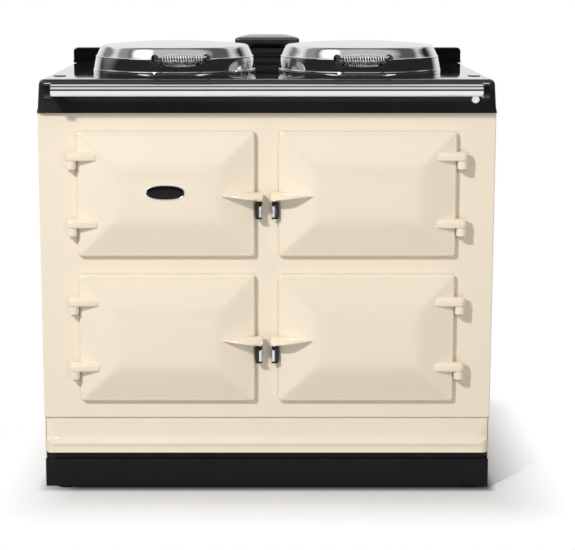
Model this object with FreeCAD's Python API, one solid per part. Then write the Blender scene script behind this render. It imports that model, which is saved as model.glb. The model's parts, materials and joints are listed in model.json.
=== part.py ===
import FreeCAD, Part
import math
import os
from FreeCAD import Vector

os.makedirs("parts", exist_ok=True)

# Range cooker with four doors and two lidded hotplates.
# Millimetres, +Z up, front towards -Y, origin on the floor under the middle of the box.

# Top plate
plate_width = 987.0
plate_depth = 698.0
plate_top_z = 910.0
fascia_height = 71.5
fascia_taper = 6.0
fascia_lip = 2.4
fascia_lip_height = 11.0
plate_corner_r = 15.0
plate_edge_r = 12.0
plate_wall = 10.0
plate_side_wall = 8.0
plate_front_wall = 14.0
plate_back_wall = 38.0
lip_overhang = 10.0

# Handrail
rail_d = 25.0
rail_wall = 1.5
rail_standoff = 60.0
rail_drop = 19.0
rail_inset = 41.8
rail_socket_depth = 9.0
bracket_width = 13.3
bracket_height = 30.0
bracket_depth = 30.0
bracket_corner_r = 6.0
bracket_arm_height = 20.0
bracket_arm_width = 10.0

# Front knob and its switch
knob_inset = 50.0
knob_drop = 41.0
knob_r = 9.0
knob_length = 13.0
knob_flutes = 12
knob_flute_r = 1.4
knob_gap = 0.8
knob_spindle_r = 3.0
knob_spindle_hole_r = 4.0
switch_size = 30.0
switch_depth = 24.0
switch_socket_depth = 12.0

# Corner plugs
plug_inset = 37.5
plug_setback = 125.0
plug_r = 14.0
plug_shank_r = 11.0
plug_height = 1.6
plug_crown_r = 5.0

# Body and front plate
body_inset = 2.0
front_thickness = 10.0
skirt_height = 79.0
front_edge_r = 3.0
panel_thickness = 2.0
panel_return = 20.0
panel_hem = 6.5
back_overhang = 28.0

# Skirt, vent strip and plinth
skirt_inset = 3.5
skirt_bottom_z = 88.0
skirt_reach = 16.0
skirt_bead_swell = 3.0
skirt_cove_rise = 46.0
skirt_cove_reach = 4.2
skirt_bead_height = 15.0
skirt_back = 14.0
skirt_round = 4.0
strip_lap = 7.0
strip_inset = 3.0
strip_slot_length = 34.0
strip_slot_height = 4.0
strip_slots = 14
plinth_setback = 8.0
plinth_bottom_z = 6.0
strip_reveal = 19.0
plinth_thickness = 2.0
plinth_back_gap = 12.0

# Base frame and feet
frame_height = 60.0
frame_lap = 4.0
tray_floor = 3.0
tray_wall = 6.0
frame_boss_r = 12.0
frame_side_gap = 21.5
frame_back_gap = 26.0
foot_pad_r = 24.0
foot_pad_height = 10.0
foot_stem_r = 7.0
foot_pad_chamfer = 2.5
foot_stem_fit = 0.05
foot_top_gap = 0.3
foot_inset = 22.5

# Doors
door_centre_gap = 50.2
door_row_gap = 39.0
door_side_margin = 83.4
door_top_margin = 39.0
door_bottom_margin = 38.7
door_gap = 2.0
door_rim = 14.0
door_bevel = 3.0
door_corner_r = 7.0
facet_inset = 7.0
facet_run = 75.0
facet_rise = 24.0
door_wall = 8.0
door_pocket_inset = 31.5
notch_inset = 31.5
notch_depth = 4.0

# Door hinges
arm_upper_inset = 51.9
arm_lower_inset = 80.5
arm_height = 18.6
arm_top_bevel = 6.0
arm_inner = 53.6
arm_end_drop = 5.0
pin_beside = 10.4
pin_setout = 22.0
arm_boss_r = 12.0
hinge_pin_r = 4.0
bore_fit = 0.05
hinge_gap = 0.3
arm_cap = 3.2
lug_r = 11.2
lug_height = 17.0
lug_web_width = 16.0
lug_foot_drop = 10.0
pin_top_gap = 0.5

# Door handles
handle_drop = 0.5
handle_height = 15.0
handle_tail_x = 97.0
handle_tip_x = 8.7
handle_reach = 55.0
handle_tip_reach = 42.0
handle_root = 12.0
handle_face_share = 0.33

# Door catches
catch_outer_x = 23.9
catch_inner_x = 10.2
catch_web = 4.0
catch_depth = 27.0
catch_shelf_back = 12.0
catch_gap = 6.7
catch_cap = 3.0
catch_spacer = 3.0
catch_foot = 2.5
catch_foot_flange = 6.0
roller_r = 4.75
roller_x = 14.9
roller_setout = 20.0
roller_pin_r = 2.0
roller_fit = 0.05
roller_gap = 0.3
roller_neck_r = 3.4
upper_roller_length = 25.0
upper_roller_band = 10.0
lower_roller_length = 26.0
roller_chamfer = 0.8

# Badge plate
badge_width = 84.0
badge_height = 33.0
badge_rise = 10.8
badge_thickness = 2.4
badge_rim = 2.2
badge_recess = 0.8

# Door inner pans
opening_side_lap = 17.5
opening_end_lap = 15.5
opening_corner_r = 12.0
pan_clearance = 4.0
pan_depth = 23.0
pan_wall = 1.5
pan_corner_r = 10.0
pack_gap = 0.3
control_pan_depth = 9.0

# Ovens
oven_back_cover = 148.0
oven_wall = 6.0
oven_flange = 12.0
oven_flange_thickness = 4.0
ledge_width = 6.0
ledge_height = 5.0
ledge_drop = 30.0
ledge_setback = 40.0
ledge_back_gap = 26.0
shelf_gap = 2.0
shelf_bar = 5.0
shelf_bars = 12
shelf_back_gap = 20.0
oven_element_thickness = 4.0
oven_element_inset = 24.0
oven_element_back_gap = 40.0

# Control housing behind the upper left door
housing_depth = 140.0
housing_wall = 2.0
control_panel_inset = 24.0
control_panel_end_inset = 54.0
control_panel_thickness = 16.0
control_panel_corner_r = 8.0

# Hotplates
hotplate_rim_gap = 4.0
hotplate_hole_gap = 5.0
hotplate_proud = 4.0
hotplate_thickness = 46.0
hotplate_chamfer = 2.0
element_inner_share = 0.41
element_edge_gap = 20.0
element_thickness = 6.0

# Lids
lid_centre_gap = 48.6
lid_front_gap = 54.0
lid_rim_r = 184.0
lid_rim_z = 11.0
lid_bead_inset = 7.3
lid_bead_z = 38.7
lid_bead_step = 1.4
lid_shoulder_inset = 18.0
lid_shoulder_z = 59.5
lid_top_inset = 4.0
lid_top_z = 63.5
lid_crown = 8.5
lid_crown_steps = 5
lid_wall = 2.0
lid_seat_gap = 0.3
lid_flange_height = 6.7
lid_flange_width = 10.0
liner_z = 8.0
liner_thickness = 1.5
liner_slope = 3.0

# Lid handles
handle_rod_z = 41.5
left_grip_turn = 7.5
handle_rod_setout = 30.0
post_spacing = 113.0
post_r = 4.5
post_foot_r = 8.0
post_foot_length = 5.0
post_head_r = 7.5
post_head_length = 8.0
post_head_round = 1.5
core_rod_r = 2.4
coil_wire_d = 3.5
coil_turns = 16
coil_knots_per_turn = 4
coil_sample = 1.2
coil_near = 14.0
coil_straight_limit = 1e-6
coil_parallel_limit = 1e-9
coil_end_r = 5.0
coil_mid_r = 9.2
coil_bend_r = 4.4

# Lid hinges
lid_axis_behind = 25.0
lid_axis_z = 12.0
lid_arm_width = 44.0
lid_arm_height = 18.0
lid_barrel_r = 10.0
lid_ear_gap = 2.0
lid_ear_width = 7.0
lid_ear_length = 28.0
lid_ear_r = 9.0
lid_bridge_height = 8.0
lid_bridge_depth = 8.0

# Upstand and vent cowl
upstand_back_gap = 58.0
upstand_inset = 8.0
upstand_thickness = 45.0
upstand_height = 38.0
upstand_corner_r = 10.0
upstand_edge_r = 3.0
upstand_lip = 3.0
upstand_lip_height = 6.0
cowl_width = 160.0
cowl_reach = 50.0
cowl_gap = 0.3
cowl_core_width = 144.0
cowl_core_inset = 4.0
cowl_wall = 3.0
cowl_height = 49.0
fin_height = 10.0
fin_low_z = 3.0
fin_high_z = 26.0
cowl_corner_r = 5.0
cowl_slot_margin = 6.0
cap_depth = 100.0
cap_wall_height = 12.0
cap_corner_r = 10.0
cap_crown_mid = 8.0
cap_crown_mid_inset = 6.0
cap_height = 23.0
cap_crown_inset = 22.0

# Back panel fittings
spigot_r = 30.0
spigot_wall = 2.0
spigot_length = 24.0
spigot_flange_r = 40.0
spigot_flange_thickness = 2.0
spigot_drop = 70.0
duct_depth = 60.0
gland_inset = 191.5
gland_rise = 60.0
gland_r = 14.0
gland_hole_r = 9.0
gland_neck_r = 10.5
gland_length = 20.0
gland_nut_r = 18.0
gland_nut_length = 8.0

# Insulation and overrun for cuts
insulation_side_gap = 8.5
insulation_front = 16.0
insulation_back_gap = 10.0
cut_over = 5.0

# Derived heights
plate_bottom_z = plate_top_z - fascia_height
rail_z = plate_top_z - rail_drop
frame_top_z = skirt_bottom_z + frame_lap
frame_bottom_z = frame_top_z - frame_height
plinth_top_z = skirt_bottom_z - strip_reveal
strip_bottom_z = plinth_top_z - strip_lap
front_bottom_z = skirt_bottom_z + skirt_height
front_height = plate_bottom_z - front_bottom_z
door_height = (front_height - door_top_margin - door_row_gap - door_bottom_margin) / 2
upper_door_z = plate_bottom_z - door_top_margin - door_height / 2
lower_door_z = front_bottom_z + door_bottom_margin + door_height / 2
opening_height = door_height - 2 * opening_end_lap
arm_upper = door_height / 2 - arm_upper_inset
arm_lower = door_height / 2 - arm_lower_inset
control_panel_height = opening_height - 2 * control_panel_end_inset
insulation_top_z = plate_top_z + hotplate_proud - hotplate_thickness - element_thickness
spigot_z = plate_bottom_z - spigot_drop
gland_z = frame_top_z + gland_rise

# Derived lid and hotplate sizes
lid_x = lid_rim_r + lid_centre_gap / 2
lid_setback = lid_rim_r + lid_front_gap
lid_bead_r = lid_rim_r - lid_bead_inset
lid_shoulder_r = lid_rim_r - lid_shoulder_inset
lid_top_r = lid_shoulder_r - lid_top_inset
hotplate_r = lid_rim_r - lid_flange_width - hotplate_rim_gap
hotplate_hole_r = hotplate_r + hotplate_hole_gap
element_outer_r = hotplate_r - element_edge_gap
element_inner_r = hotplate_r * element_inner_share

# Derived widths
body_width = plate_width - 2 * body_inset
skirt_width = body_width - 2 * skirt_inset
strip_width = skirt_width - 2 * strip_inset
frame_half_width = body_width / 2 - frame_side_gap
insulation_half_width = body_width / 2 - insulation_side_gap
upstand_width = plate_width - 2 * upstand_inset
rail_half_span = plate_width / 2 - rail_inset
knob_x = plate_width / 2 - knob_inset
plug_x = plate_width / 2 - plug_inset
door_width = body_width / 2 - door_side_margin - door_centre_gap / 2
door_x = (door_centre_gap + door_width) / 2
pin_x = door_x + door_width / 2 + pin_beside
notch_half_width = door_width / 2 - notch_inset
opening_width = door_width - 2 * opening_side_lap
oven_element_width = opening_width - 2 * oven_element_inset
control_panel_width = opening_width - 2 * control_panel_inset
gland_x = body_width / 2 - gland_inset

# Derived depths
rail_reach = rail_standoff + bracket_depth / 2
total_depth = plate_depth + rail_reach
plate_front_y = rail_reach - total_depth / 2
face_y = plate_front_y + lip_overhang
pin_y = face_y - pin_setout
roller_y = face_y - roller_setout
lid_y = plate_front_y + lid_setback
lid_axis_y = lid_y + lid_rim_r + lid_axis_behind
rail_y = plate_front_y - rail_standoff
upstand_y = plate_front_y + plate_depth - upstand_back_gap
back_y = plate_front_y + plate_depth - back_overhang
insulation_back_y = back_y - insulation_back_gap
liner_front_y = face_y + front_thickness
oven_depth = insulation_back_y - oven_back_cover - oven_wall - liner_front_y
ledge_length = oven_depth - ledge_setback - ledge_back_gap
shelf_depth = ledge_length - shelf_back_gap
oven_element_depth = ledge_length - oven_element_back_gap
door_front = door_gap + door_rim + facet_rise

ORIGIN = Vector(0, 0, 0)
X = Vector(1, 0, 0)
Y = Vector(0, 1, 0)
Z = Vector(0, 0, 1)


def save(name, shape):
    """Write one node and check that it is sound."""
    shape = shape.removeSplitter()
    solids = len(shape.Solids)
    print(name, solids, "solids, valid", shape.isValid(), "volume", round(shape.Volume / 1000, 1))
    shape.exportStep("parts/" + name + ".step")


def box(x0, x1, y0, y1, z0, z1):
    return Part.makeBox(x1 - x0, y1 - y0, z1 - z0, Vector(x0, y0, z0))


def mirror(shape):
    """The left-hand copy of a right-hand shape."""
    return shape.mirror(ORIGIN, X)


def handed(side, shape):
    return mirror(shape) if side == "left" else shape


def round_rect(cx, cz, width, height, radius, y):
    """Closed wire of a rounded rectangle that faces the front, at depth y."""
    x0, x1 = cx - width / 2, cx + width / 2
    z0, z1 = cz - height / 2, cz + height / 2
    k = radius * (1 - math.sqrt(0.5))
    edges = [
        Part.LineSegment(Vector(x0 + radius, y, z0), Vector(x1 - radius, y, z0)).toShape(),
        Part.Arc(Vector(x1 - radius, y, z0), Vector(x1 - k, y, z0 + k), Vector(x1, y, z0 + radius)).toShape(),
        Part.LineSegment(Vector(x1, y, z0 + radius), Vector(x1, y, z1 - radius)).toShape(),
        Part.Arc(Vector(x1, y, z1 - radius), Vector(x1 - k, y, z1 - k), Vector(x1 - radius, y, z1)).toShape(),
        Part.LineSegment(Vector(x1 - radius, y, z1), Vector(x0 + radius, y, z1)).toShape(),
        Part.Arc(Vector(x0 + radius, y, z1), Vector(x0 + k, y, z1 - k), Vector(x0, y, z1 - radius)).toShape(),
        Part.LineSegment(Vector(x0, y, z1 - radius), Vector(x0, y, z0 + radius)).toShape(),
        Part.Arc(Vector(x0, y, z0 + radius), Vector(x0 + k, y, z0 + k), Vector(x0 + radius, y, z0)).toShape(),
    ]
    return Part.Wire(edges)


def flat_rect(cx, cy, width, depth, radius, z):
    """Closed wire of a rounded rectangle that lies flat, at height z."""
    wire = round_rect(cx, 0, width, depth, radius, 0)
    wire.rotate(Vector(cx, 0, 0), X, 90)
    wire.translate(Vector(0, cy, z))
    return wire


def front_prism(cx, cz, width, height, radius, y0, y1):
    face = Part.Face(round_rect(cx, cz, width, height, radius, y0))
    return face.extrude(Vector(0, y1 - y0, 0))


def flat_prism(cx, cy, width, depth, radius, z0, z1):
    face = Part.Face(flat_rect(cx, cy, width, depth, radius, z0))
    return face.extrude(Vector(0, 0, z1 - z0))


def loft(wires):
    return Part.makeLoft(wires, True, True)


def polygon(points):
    return Part.Face(Part.makePolygon(points + [points[0]]))


def fuse(shapes):
    result = shapes[0]
    for shape in shapes[1:]:
        result = result.fuse(shape)
    return result.removeSplitter()


def turned(cx, cy, z, profile):
    """Solid turned about a vertical axis from a list of radius and height pairs."""
    face = polygon([Vector(r, 0, h) for r, h in profile])
    solid = face.revolve(ORIGIN, Z, 360)
    solid.translate(Vector(cx, cy, z))
    return solid


def plate_section(inset, z):
    cy = plate_front_y + plate_depth / 2
    return flat_rect(0, cy, plate_width - 2 * inset, plate_depth - 2 * inset, plate_corner_r, z)


def plate_blank():
    """Outside of the top plate: a flared lip, then drawn in towards its top."""
    middle_z = plate_bottom_z + fascia_lip_height
    lip = loft([plate_section(0, plate_bottom_z), plate_section(fascia_lip, middle_z)])
    blank = loft([plate_section(fascia_lip, middle_z), plate_section(fascia_taper, plate_top_z)])
    rim = [e for e in blank.Edges if e.BoundBox.ZMin > plate_top_z - plate_wall / 2]
    return lip.fuse(blank.makeFillet(plate_edge_r, rim))


def fascia_inset(z):
    """How far the fascia lies behind the front of its lip at a height above the lip."""
    low = plate_bottom_z + fascia_lip_height
    return fascia_lip + (fascia_taper - fascia_lip) * (z - low) / (plate_top_z - low)


def cowl_throat(z0, z1):
    """Space of the vent duct through the cowl and the top plate."""
    width = cowl_core_width - 2 * cowl_wall
    y0 = upstand_y - cowl_reach + cowl_core_inset + cowl_wall
    y1 = upstand_y - cowl_gap - cowl_wall
    return box(-width / 2, width / 2, y0, y1, z0, z1)


def top_plate():
    blank = plate_blank()
    half = plate_width / 2 - plate_side_wall
    inner_front = plate_front_y + plate_front_wall
    inner_back = plate_front_y + plate_depth - plate_back_wall
    hollow = box(-half, half, inner_front, inner_back, plate_bottom_z, plate_top_z - plate_wall)
    shape = blank.cut(hollow)
    z0 = plate_top_z - plate_wall - cut_over
    height = plate_wall + 2 * cut_over
    for x in (-lid_x, lid_x):
        shape = shape.cut(Part.makeCylinder(hotplate_hole_r, height, Vector(x, lid_y, z0), Z))
    for x in (-plug_x, plug_x):
        at = Vector(x, plate_front_y + plug_setback, z0)
        shape = shape.cut(Part.makeCylinder(plug_shank_r + bore_fit, height, at, Z))
    shape = shape.cut(cowl_throat(z0, plate_top_z + cut_over))
    at = Vector(knob_x, plate_front_y - cut_over, plate_top_z - knob_drop)
    return shape.cut(Part.makeCylinder(knob_spindle_hole_r, plate_front_wall + 2 * cut_over, at, Y))


def corner_plug(x):
    """Flush domed plug with a shank in the plate."""
    low = -plate_wall
    profile = [(0, low), (plug_shank_r, low), (plug_shank_r, 0), (plug_r, 0),
               (plug_r, plug_height / 2), (plug_r - plug_height / 2, plug_height),
               (plug_crown_r, plug_height), (0, plug_height)]
    return turned(x, plate_front_y + plug_setback, plate_top_z, profile)


def upstand():
    x1 = upstand_width / 2
    y0 = upstand_y
    blank = box(-x1, x1, y0, y0 + upstand_thickness, plate_top_z, plate_top_z + upstand_height)
    corners = [e for e in blank.Edges
               if e.BoundBox.YLength > upstand_thickness / 2 and e.BoundBox.ZMin > plate_top_z]
    blank = blank.makeFillet(upstand_corner_r, corners)
    top = [e for e in blank.Edges
           if e.BoundBox.ZMax > plate_top_z + upstand_height - upstand_corner_r / 2
           and e.BoundBox.YLength < upstand_thickness / 2]
    blank = blank.makeFillet(upstand_edge_r, top)
    lip = box(-x1, x1, y0 - upstand_lip, y0, plate_top_z, plate_top_z + upstand_lip_height)
    shape = blank.fuse(lip)
    gap_half = cowl_width / 2 + cowl_gap
    clearing = box(-gap_half, gap_half, y0 - upstand_lip - cut_over, y0, plate_top_z,
                   plate_top_z + upstand_height)
    return shape.cut(clearing)


def vent_cowl():
    """Hollow core with two louvre fins, open to the duct below."""
    y0 = upstand_y - cowl_reach
    y1 = upstand_y - cowl_gap
    core_y0 = y0 + cowl_core_inset
    half = cowl_core_width / 2
    z0 = plate_top_z
    shape = box(-half, half, core_y0, y1, z0, z0 + cowl_height)
    mid_y = (y0 + y1) / 2
    for low in (fin_low_z, fin_high_z):
        fin = flat_prism(0, mid_y, cowl_width, y1 - y0, cowl_corner_r, z0 + low, z0 + low + fin_height)
        shape = shape.fuse(fin)
    shape = shape.cut(cowl_throat(z0 - cut_over, z0 + cowl_height + cut_over))
    slots = ((fin_low_z + fin_height, fin_high_z), (fin_high_z + fin_height, cowl_height))
    slot_half = half - cowl_wall - cowl_slot_margin
    for low, high in slots:
        margin = cowl_wall / 2
        slot = box(-slot_half, slot_half, y0 - cut_over, core_y0 + cowl_wall + cut_over,
                   z0 + low + margin, z0 + high - margin)
        shape = shape.cut(slot)
    return shape


def vent_cap():
    """Domed cap over the cowl that reaches back over the upstand."""
    y0 = upstand_y - cowl_reach
    cy = y0 + cap_depth / 2
    z0 = plate_top_z + cowl_height
    wall = flat_prism(0, cy, cowl_width, cap_depth, cap_corner_r, z0, z0 + cap_wall_height)
    mid_inset = 2 * cap_crown_mid_inset
    top_inset = 2 * cap_crown_inset
    crown = loft([
        flat_rect(0, cy, cowl_width, cap_depth, cap_corner_r, z0 + cap_wall_height),
        flat_rect(0, cy, cowl_width - mid_inset, cap_depth - mid_inset, cap_corner_r,
                  z0 + cap_wall_height + cap_crown_mid),
        flat_rect(0, cy, cowl_width - top_inset, cap_depth - top_inset, cap_corner_r, z0 + cap_height),
    ])
    return fuse([wall, crown])


def handrail():
    half = rail_half_span + rail_socket_depth
    outer = Part.makeCylinder(rail_d / 2, 2 * half, Vector(-half, rail_y, rail_z), X)
    inner = Part.makeCylinder(rail_d / 2 - rail_wall, 2 * half, Vector(-half, rail_y, rail_z), X)
    return outer.cut(inner)


def rail_bracket():
    """Right-hand end bracket: a head that holds the tube and an arm to the fascia."""
    x0 = rail_half_span
    x1 = x0 + bracket_width
    mid_x = (x0 + x1) / 2
    mid_y = rail_y
    head = box(x0, x1, mid_y - bracket_depth / 2, mid_y + bracket_depth / 2,
               rail_z - bracket_height / 2, rail_z + bracket_height / 2)
    long_edges = [e for e in head.Edges if e.BoundBox.XLength > bracket_width / 2]
    head = head.makeFillet(bracket_corner_r, long_edges)
    arm = box(mid_x - bracket_arm_width / 2, mid_x + bracket_arm_width / 2, mid_y, face_y,
              rail_z - bracket_arm_height / 2, rail_z + bracket_arm_height / 2)
    shape = head.fuse(arm).cut(plate_blank())
    socket = Part.makeCylinder(rail_d / 2 + bore_fit, rail_socket_depth + bore_fit,
                               Vector(x0, rail_y, rail_z), X)
    return shape.cut(socket)


def knob():
    """Fluted knob with its spindle into the switch, turned about the Y axis and then set in place."""
    z = plate_top_z - knob_drop
    back = plate_front_y + fascia_inset(z - knob_r) - knob_gap
    body = Part.makeCylinder(knob_r, knob_length, Vector(0, -knob_length, 0), Y)
    front = [e for e in body.Edges if e.BoundBox.YMax < -knob_length / 2]
    body = body.makeFillet(knob_flute_r, front)
    for i in range(knob_flutes):
        angle = 2 * math.pi * i / knob_flutes
        at = Vector(knob_r * math.cos(angle), -knob_length - cut_over, knob_r * math.sin(angle))
        body = body.cut(Part.makeCylinder(knob_flute_r, knob_length + 2 * cut_over, at, Y))
    reach = switch_front_y() + switch_socket_depth - knob_spindle_r - back
    shape = body.fuse(Part.makeCylinder(knob_spindle_r, reach, Vector(0, 0, 0), Y))
    shape.translate(Vector(knob_x, back, z))
    return shape


def switch_front_y():
    return plate_front_y + plate_front_wall


def switch():
    z = plate_top_z - knob_drop
    half = switch_size / 2
    y0 = switch_front_y()
    shape = box(knob_x - half, knob_x + half, y0, y0 + switch_depth, z - half, z + half)
    socket = Part.makeCylinder(knob_spindle_r + bore_fit, switch_socket_depth, Vector(knob_x, y0, z), Y)
    return shape.cut(socket)


def hinge_heights(door_z):
    """Heights of the middles of a door's two hinge arms."""
    return (door_z + arm_upper, door_z - arm_lower)


def front_plate():
    """Casting with four openings and the fixed hinge lugs."""
    half = body_width / 2
    shape = box(-half, half, face_y, face_y + front_thickness, front_bottom_z, plate_bottom_z)
    corners = [e for e in shape.Edges
               if e.BoundBox.ZLength > fascia_height and e.BoundBox.YMax < face_y + front_thickness / 2]
    shape = shape.makeFillet(front_edge_r, corners)
    for cz in (upper_door_z, lower_door_z):
        for cx in (-door_x, door_x):
            hole = front_prism(cx, cz, opening_width, opening_height, opening_corner_r,
                               face_y - cut_over, face_y + front_thickness + cut_over)
            shape = shape.cut(hole)
    lugs = []
    for cz in (upper_door_z, lower_door_z):
        for arm_z in hinge_heights(cz):
            right = hinge_lug(arm_z)
            lugs += [right, mirror(right)]
    return fuse([shape] + lugs)


def hinge_lug(arm_z):
    """Fixed lug on the front plate under one hinge arm, bored for the pin."""
    top = arm_z - arm_height / 2 - hinge_gap
    low = top - lug_height
    barrel = Part.makeCylinder(lug_r, lug_height, Vector(pin_x, pin_y, low), Z)
    x0 = pin_x - lug_web_width / 2
    web = polygon([Vector(x0, face_y, top), Vector(x0, pin_y, top), Vector(x0, pin_y, low),
                   Vector(x0, face_y, low - lug_foot_drop)]).extrude(Vector(lug_web_width, 0, 0))
    at = Vector(pin_x, pin_y, low + arm_cap)
    bore = Part.makeCylinder(hinge_pin_r + bore_fit, lug_height - arm_cap, at, Z)
    return barrel.fuse(web).cut(bore)


def door_pin(arm_z):
    low = arm_z - arm_height / 2 - hinge_gap - lug_height + arm_cap
    high = arm_z + arm_height / 2 - arm_cap - pin_top_gap
    return Part.makeCylinder(hinge_pin_r, high - low, Vector(pin_x, pin_y, low), Z)


def door_outline(door_z, inset, y):
    return round_rect(door_x, door_z, door_width - 2 * inset, door_height - 2 * inset, door_corner_r, y)


def door_casting(door_z, notched):
    """Right-hand door: rim, hipped facets, hinge arms and handle."""
    y_back = face_y - door_gap
    y_rim = y_back - door_rim
    y_top = y_rim - facet_rise
    y_bevel = y_rim + door_bevel
    parts = [front_prism(door_x, door_z, door_width, door_height, door_corner_r, y_back, y_bevel)]
    for inset0, y0, inset1, y1 in ((0, y_bevel, door_bevel, y_rim),
                                   (facet_inset, y_rim, facet_inset + facet_run, y_top)):
        parts.append(loft([door_outline(door_z, inset0, y0), door_outline(door_z, inset1, y1)]))
    for arm_z in hinge_heights(door_z):
        parts.append(door_arm(arm_z))
    parts.append(door_handle(door_z))
    shape = fuse(parts)
    pocket = loft([
        door_outline(door_z, door_pocket_inset, y_back),
        door_outline(door_z, facet_inset + facet_run, y_top + door_wall),
    ])
    shape = shape.cut(pocket)
    for arm_z in hinge_heights(door_z):
        bore_z = arm_z - arm_height / 2
        bore = Part.makeCylinder(hinge_pin_r + bore_fit, arm_height - arm_cap, Vector(pin_x, pin_y, bore_z), Z)
        shape = shape.cut(bore)
    if notched:
        for z0 in (door_z - door_height / 2, door_z + door_height / 2 - notch_depth):
            notch = box(door_x - notch_half_width, door_x + notch_half_width, y_rim - cut_over,
                        y_back + cut_over, z0, z0 + notch_depth)
            shape = shape.cut(notch)
    return shape


def door_arm(arm_z):
    """Hinge arm from the door's facet out to the pin."""
    low = arm_z - arm_height / 2
    x0 = pin_x - arm_inner
    y_front = pin_y - arm_boss_r
    y_rear = face_y - door_gap - arm_boss_r
    beam = polygon([Vector(x0, y_front + arm_end_drop, low), Vector(pin_x, y_front, low),
                    Vector(pin_x, y_rear, low), Vector(x0, y_rear, low)]).extrude(Vector(0, 0, arm_height))
    boss = Part.makeCylinder(arm_boss_r, arm_height, Vector(pin_x, pin_y, low), Z)
    top = low + arm_height + cut_over
    y_cut = y_front - cut_over
    reach = arm_top_bevel + 2 * cut_over
    bevel = polygon([Vector(x0, y_cut, top), Vector(x0, y_cut + reach, top),
                     Vector(x0, y_cut, top - reach)]).extrude(Vector(arm_inner + arm_boss_r, 0, 0))
    return beam.fuse(boss).cut(bevel)


def handle_section(x, door_z, height, y_front, y_back, nose):
    """Six-sided section of the handle at x, thinner towards its front."""
    z = door_z - handle_drop
    h = height / 2
    y0 = face_y - y_front
    y1 = face_y - y_back
    k = h * handle_face_share
    points = [Vector(x, y1, z - h), Vector(x, y0 + nose, z - h), Vector(x, y0, z - k),
              Vector(x, y0, z + k), Vector(x, y0 + nose, z + h), Vector(x, y1, z + h)]
    return Part.makePolygon(points + [points[0]])


def door_handle(door_z):
    """Pointed horizontal handle whose tip reaches over the catch."""
    crest = door_front
    span = handle_tail_x - handle_tip_x
    # place along the span from tip to tail, height, front and nose as shares
    shares = ((0.0, 0.94, handle_tip_reach, 0.4), (0.11, 1.0, handle_reach - door_bevel, 0.6),
              (0.27, 0.95, handle_reach, 0.7), (0.6, 0.65, (handle_reach + crest) / 2 + door_bevel, 0.5),
              (1.0, 0.25, crest, 0.2))
    wires = []
    for place_share, height_share, reach, nose_share in shares:
        x = handle_tip_x + place_share * span
        height = handle_height * height_share
        nose = handle_height * nose_share
        wires.append(handle_section(x, door_z, height, reach, handle_root, nose))
    return loft(wires)


def catch_z(door_z):
    """Height of a catch's top, just under the handle tip."""
    return door_z - handle_drop - handle_height / 2 - catch_gap


def roller_span(door_z, length):
    top = catch_z(door_z) - catch_cap - catch_spacer - roller_gap
    return top - length, top


def catch_bracket(door_z, length):
    """Right-hand bracket: an upright web with a cap, a spacer, a foot and the roller's pin."""
    low, high = roller_span(door_z, length)
    top = catch_z(door_z)
    bottom = low - roller_gap - catch_foot
    y0 = face_y - catch_depth
    web = box(catch_outer_x - catch_web, catch_outer_x, y0, face_y, bottom, top)
    y1 = face_y - catch_shelf_back
    cap = box(catch_inner_x, catch_outer_x, y0, y1, top - catch_cap, top)
    spacer = Part.makeCylinder(roller_neck_r, catch_spacer, Vector(roller_x, roller_y, high + roller_gap), Z)
    foot = box(catch_inner_x, catch_outer_x, y0, y1, bottom, bottom + catch_foot)
    flange = box(catch_inner_x, catch_outer_x, face_y - catch_foot, face_y, top - catch_foot_flange, top)
    at = Vector(roller_x, roller_y, low - roller_gap)
    pin = Part.makeCylinder(roller_pin_r, high - low + 2 * roller_gap, at, Z)
    return fuse([web, cap, spacer, foot, flange, pin])


def roller(door_z, length, band):
    """Roller of one band, or of two bands with a neck between them."""
    low, high = roller_span(door_z, length)
    bands = [(low, low + band), (high - band, high)] if 2 * band < length else [(low, high)]
    solids = []
    for z0, z1 in bands:
        drum = Part.makeCylinder(roller_r, z1 - z0, Vector(roller_x, roller_y, z0), Z)
        rims = [e for e in drum.Edges if e.BoundBox.ZLength < roller_chamfer]
        solids.append(drum.makeChamfer(roller_chamfer, rims))
    solids.append(Part.makeCylinder(roller_neck_r, length, Vector(roller_x, roller_y, low), Z))
    bore = Part.makeCylinder(roller_pin_r + roller_fit, length, Vector(roller_x, roller_y, low), Z)
    return fuse(solids).cut(bore)


def badge():
    """Plain oval plate with a raised rim on the upper left door."""
    z = upper_door_z + badge_rise
    y1 = face_y - door_front
    y0 = y1 - badge_thickness

    def oval(width, height, y, depth):
        ellipse = Part.Ellipse(Vector(-door_x, y, z), width / 2, height / 2)
        edge = ellipse.toShape()
        edge.rotate(Vector(-door_x, y, z), X, 90)
        return Part.Face(Part.Wire([edge])).extrude(Vector(0, depth, 0))

    plate = oval(badge_width, badge_height, y0, badge_thickness)
    field = oval(badge_width - 2 * badge_rim, badge_height - 2 * badge_rim, y0, badge_recess)
    return plate.cut(field)


def pan_size():
    return opening_width - 2 * pan_clearance, opening_height - 2 * pan_clearance


def door_pan(door_z, depth):
    """Pressed pan on the door's back that plugs the opening."""
    width, height = pan_size()
    y0 = face_y - door_gap
    outer = front_prism(door_x, door_z, width, height, pan_corner_r, y0, face_y + depth)
    inner = front_prism(door_x, door_z, width - 2 * pan_wall, height - 2 * pan_wall, pan_corner_r - pan_wall,
                        y0, face_y + depth - pan_wall)
    return outer.cut(inner)


def door_insulation(door_z):
    """Slab that fills the casting's pocket and the pan."""
    width, height = pan_size()
    inset = 2 * (pan_wall + pack_gap)
    y_back = face_y - door_gap
    slab = front_prism(door_x, door_z, width - inset, height - inset, pan_corner_r - pan_wall,
                       y_back + pack_gap, face_y + pan_depth - pan_wall - pack_gap)
    y_top = y_back - door_rim - facet_rise
    wedge = loft([
        door_outline(door_z, door_pocket_inset + door_wall, y_back + pack_gap),
        door_outline(door_z, facet_inset + facet_run + door_wall, y_top + door_wall + pack_gap),
    ])
    return fuse([slab, wedge])


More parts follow.
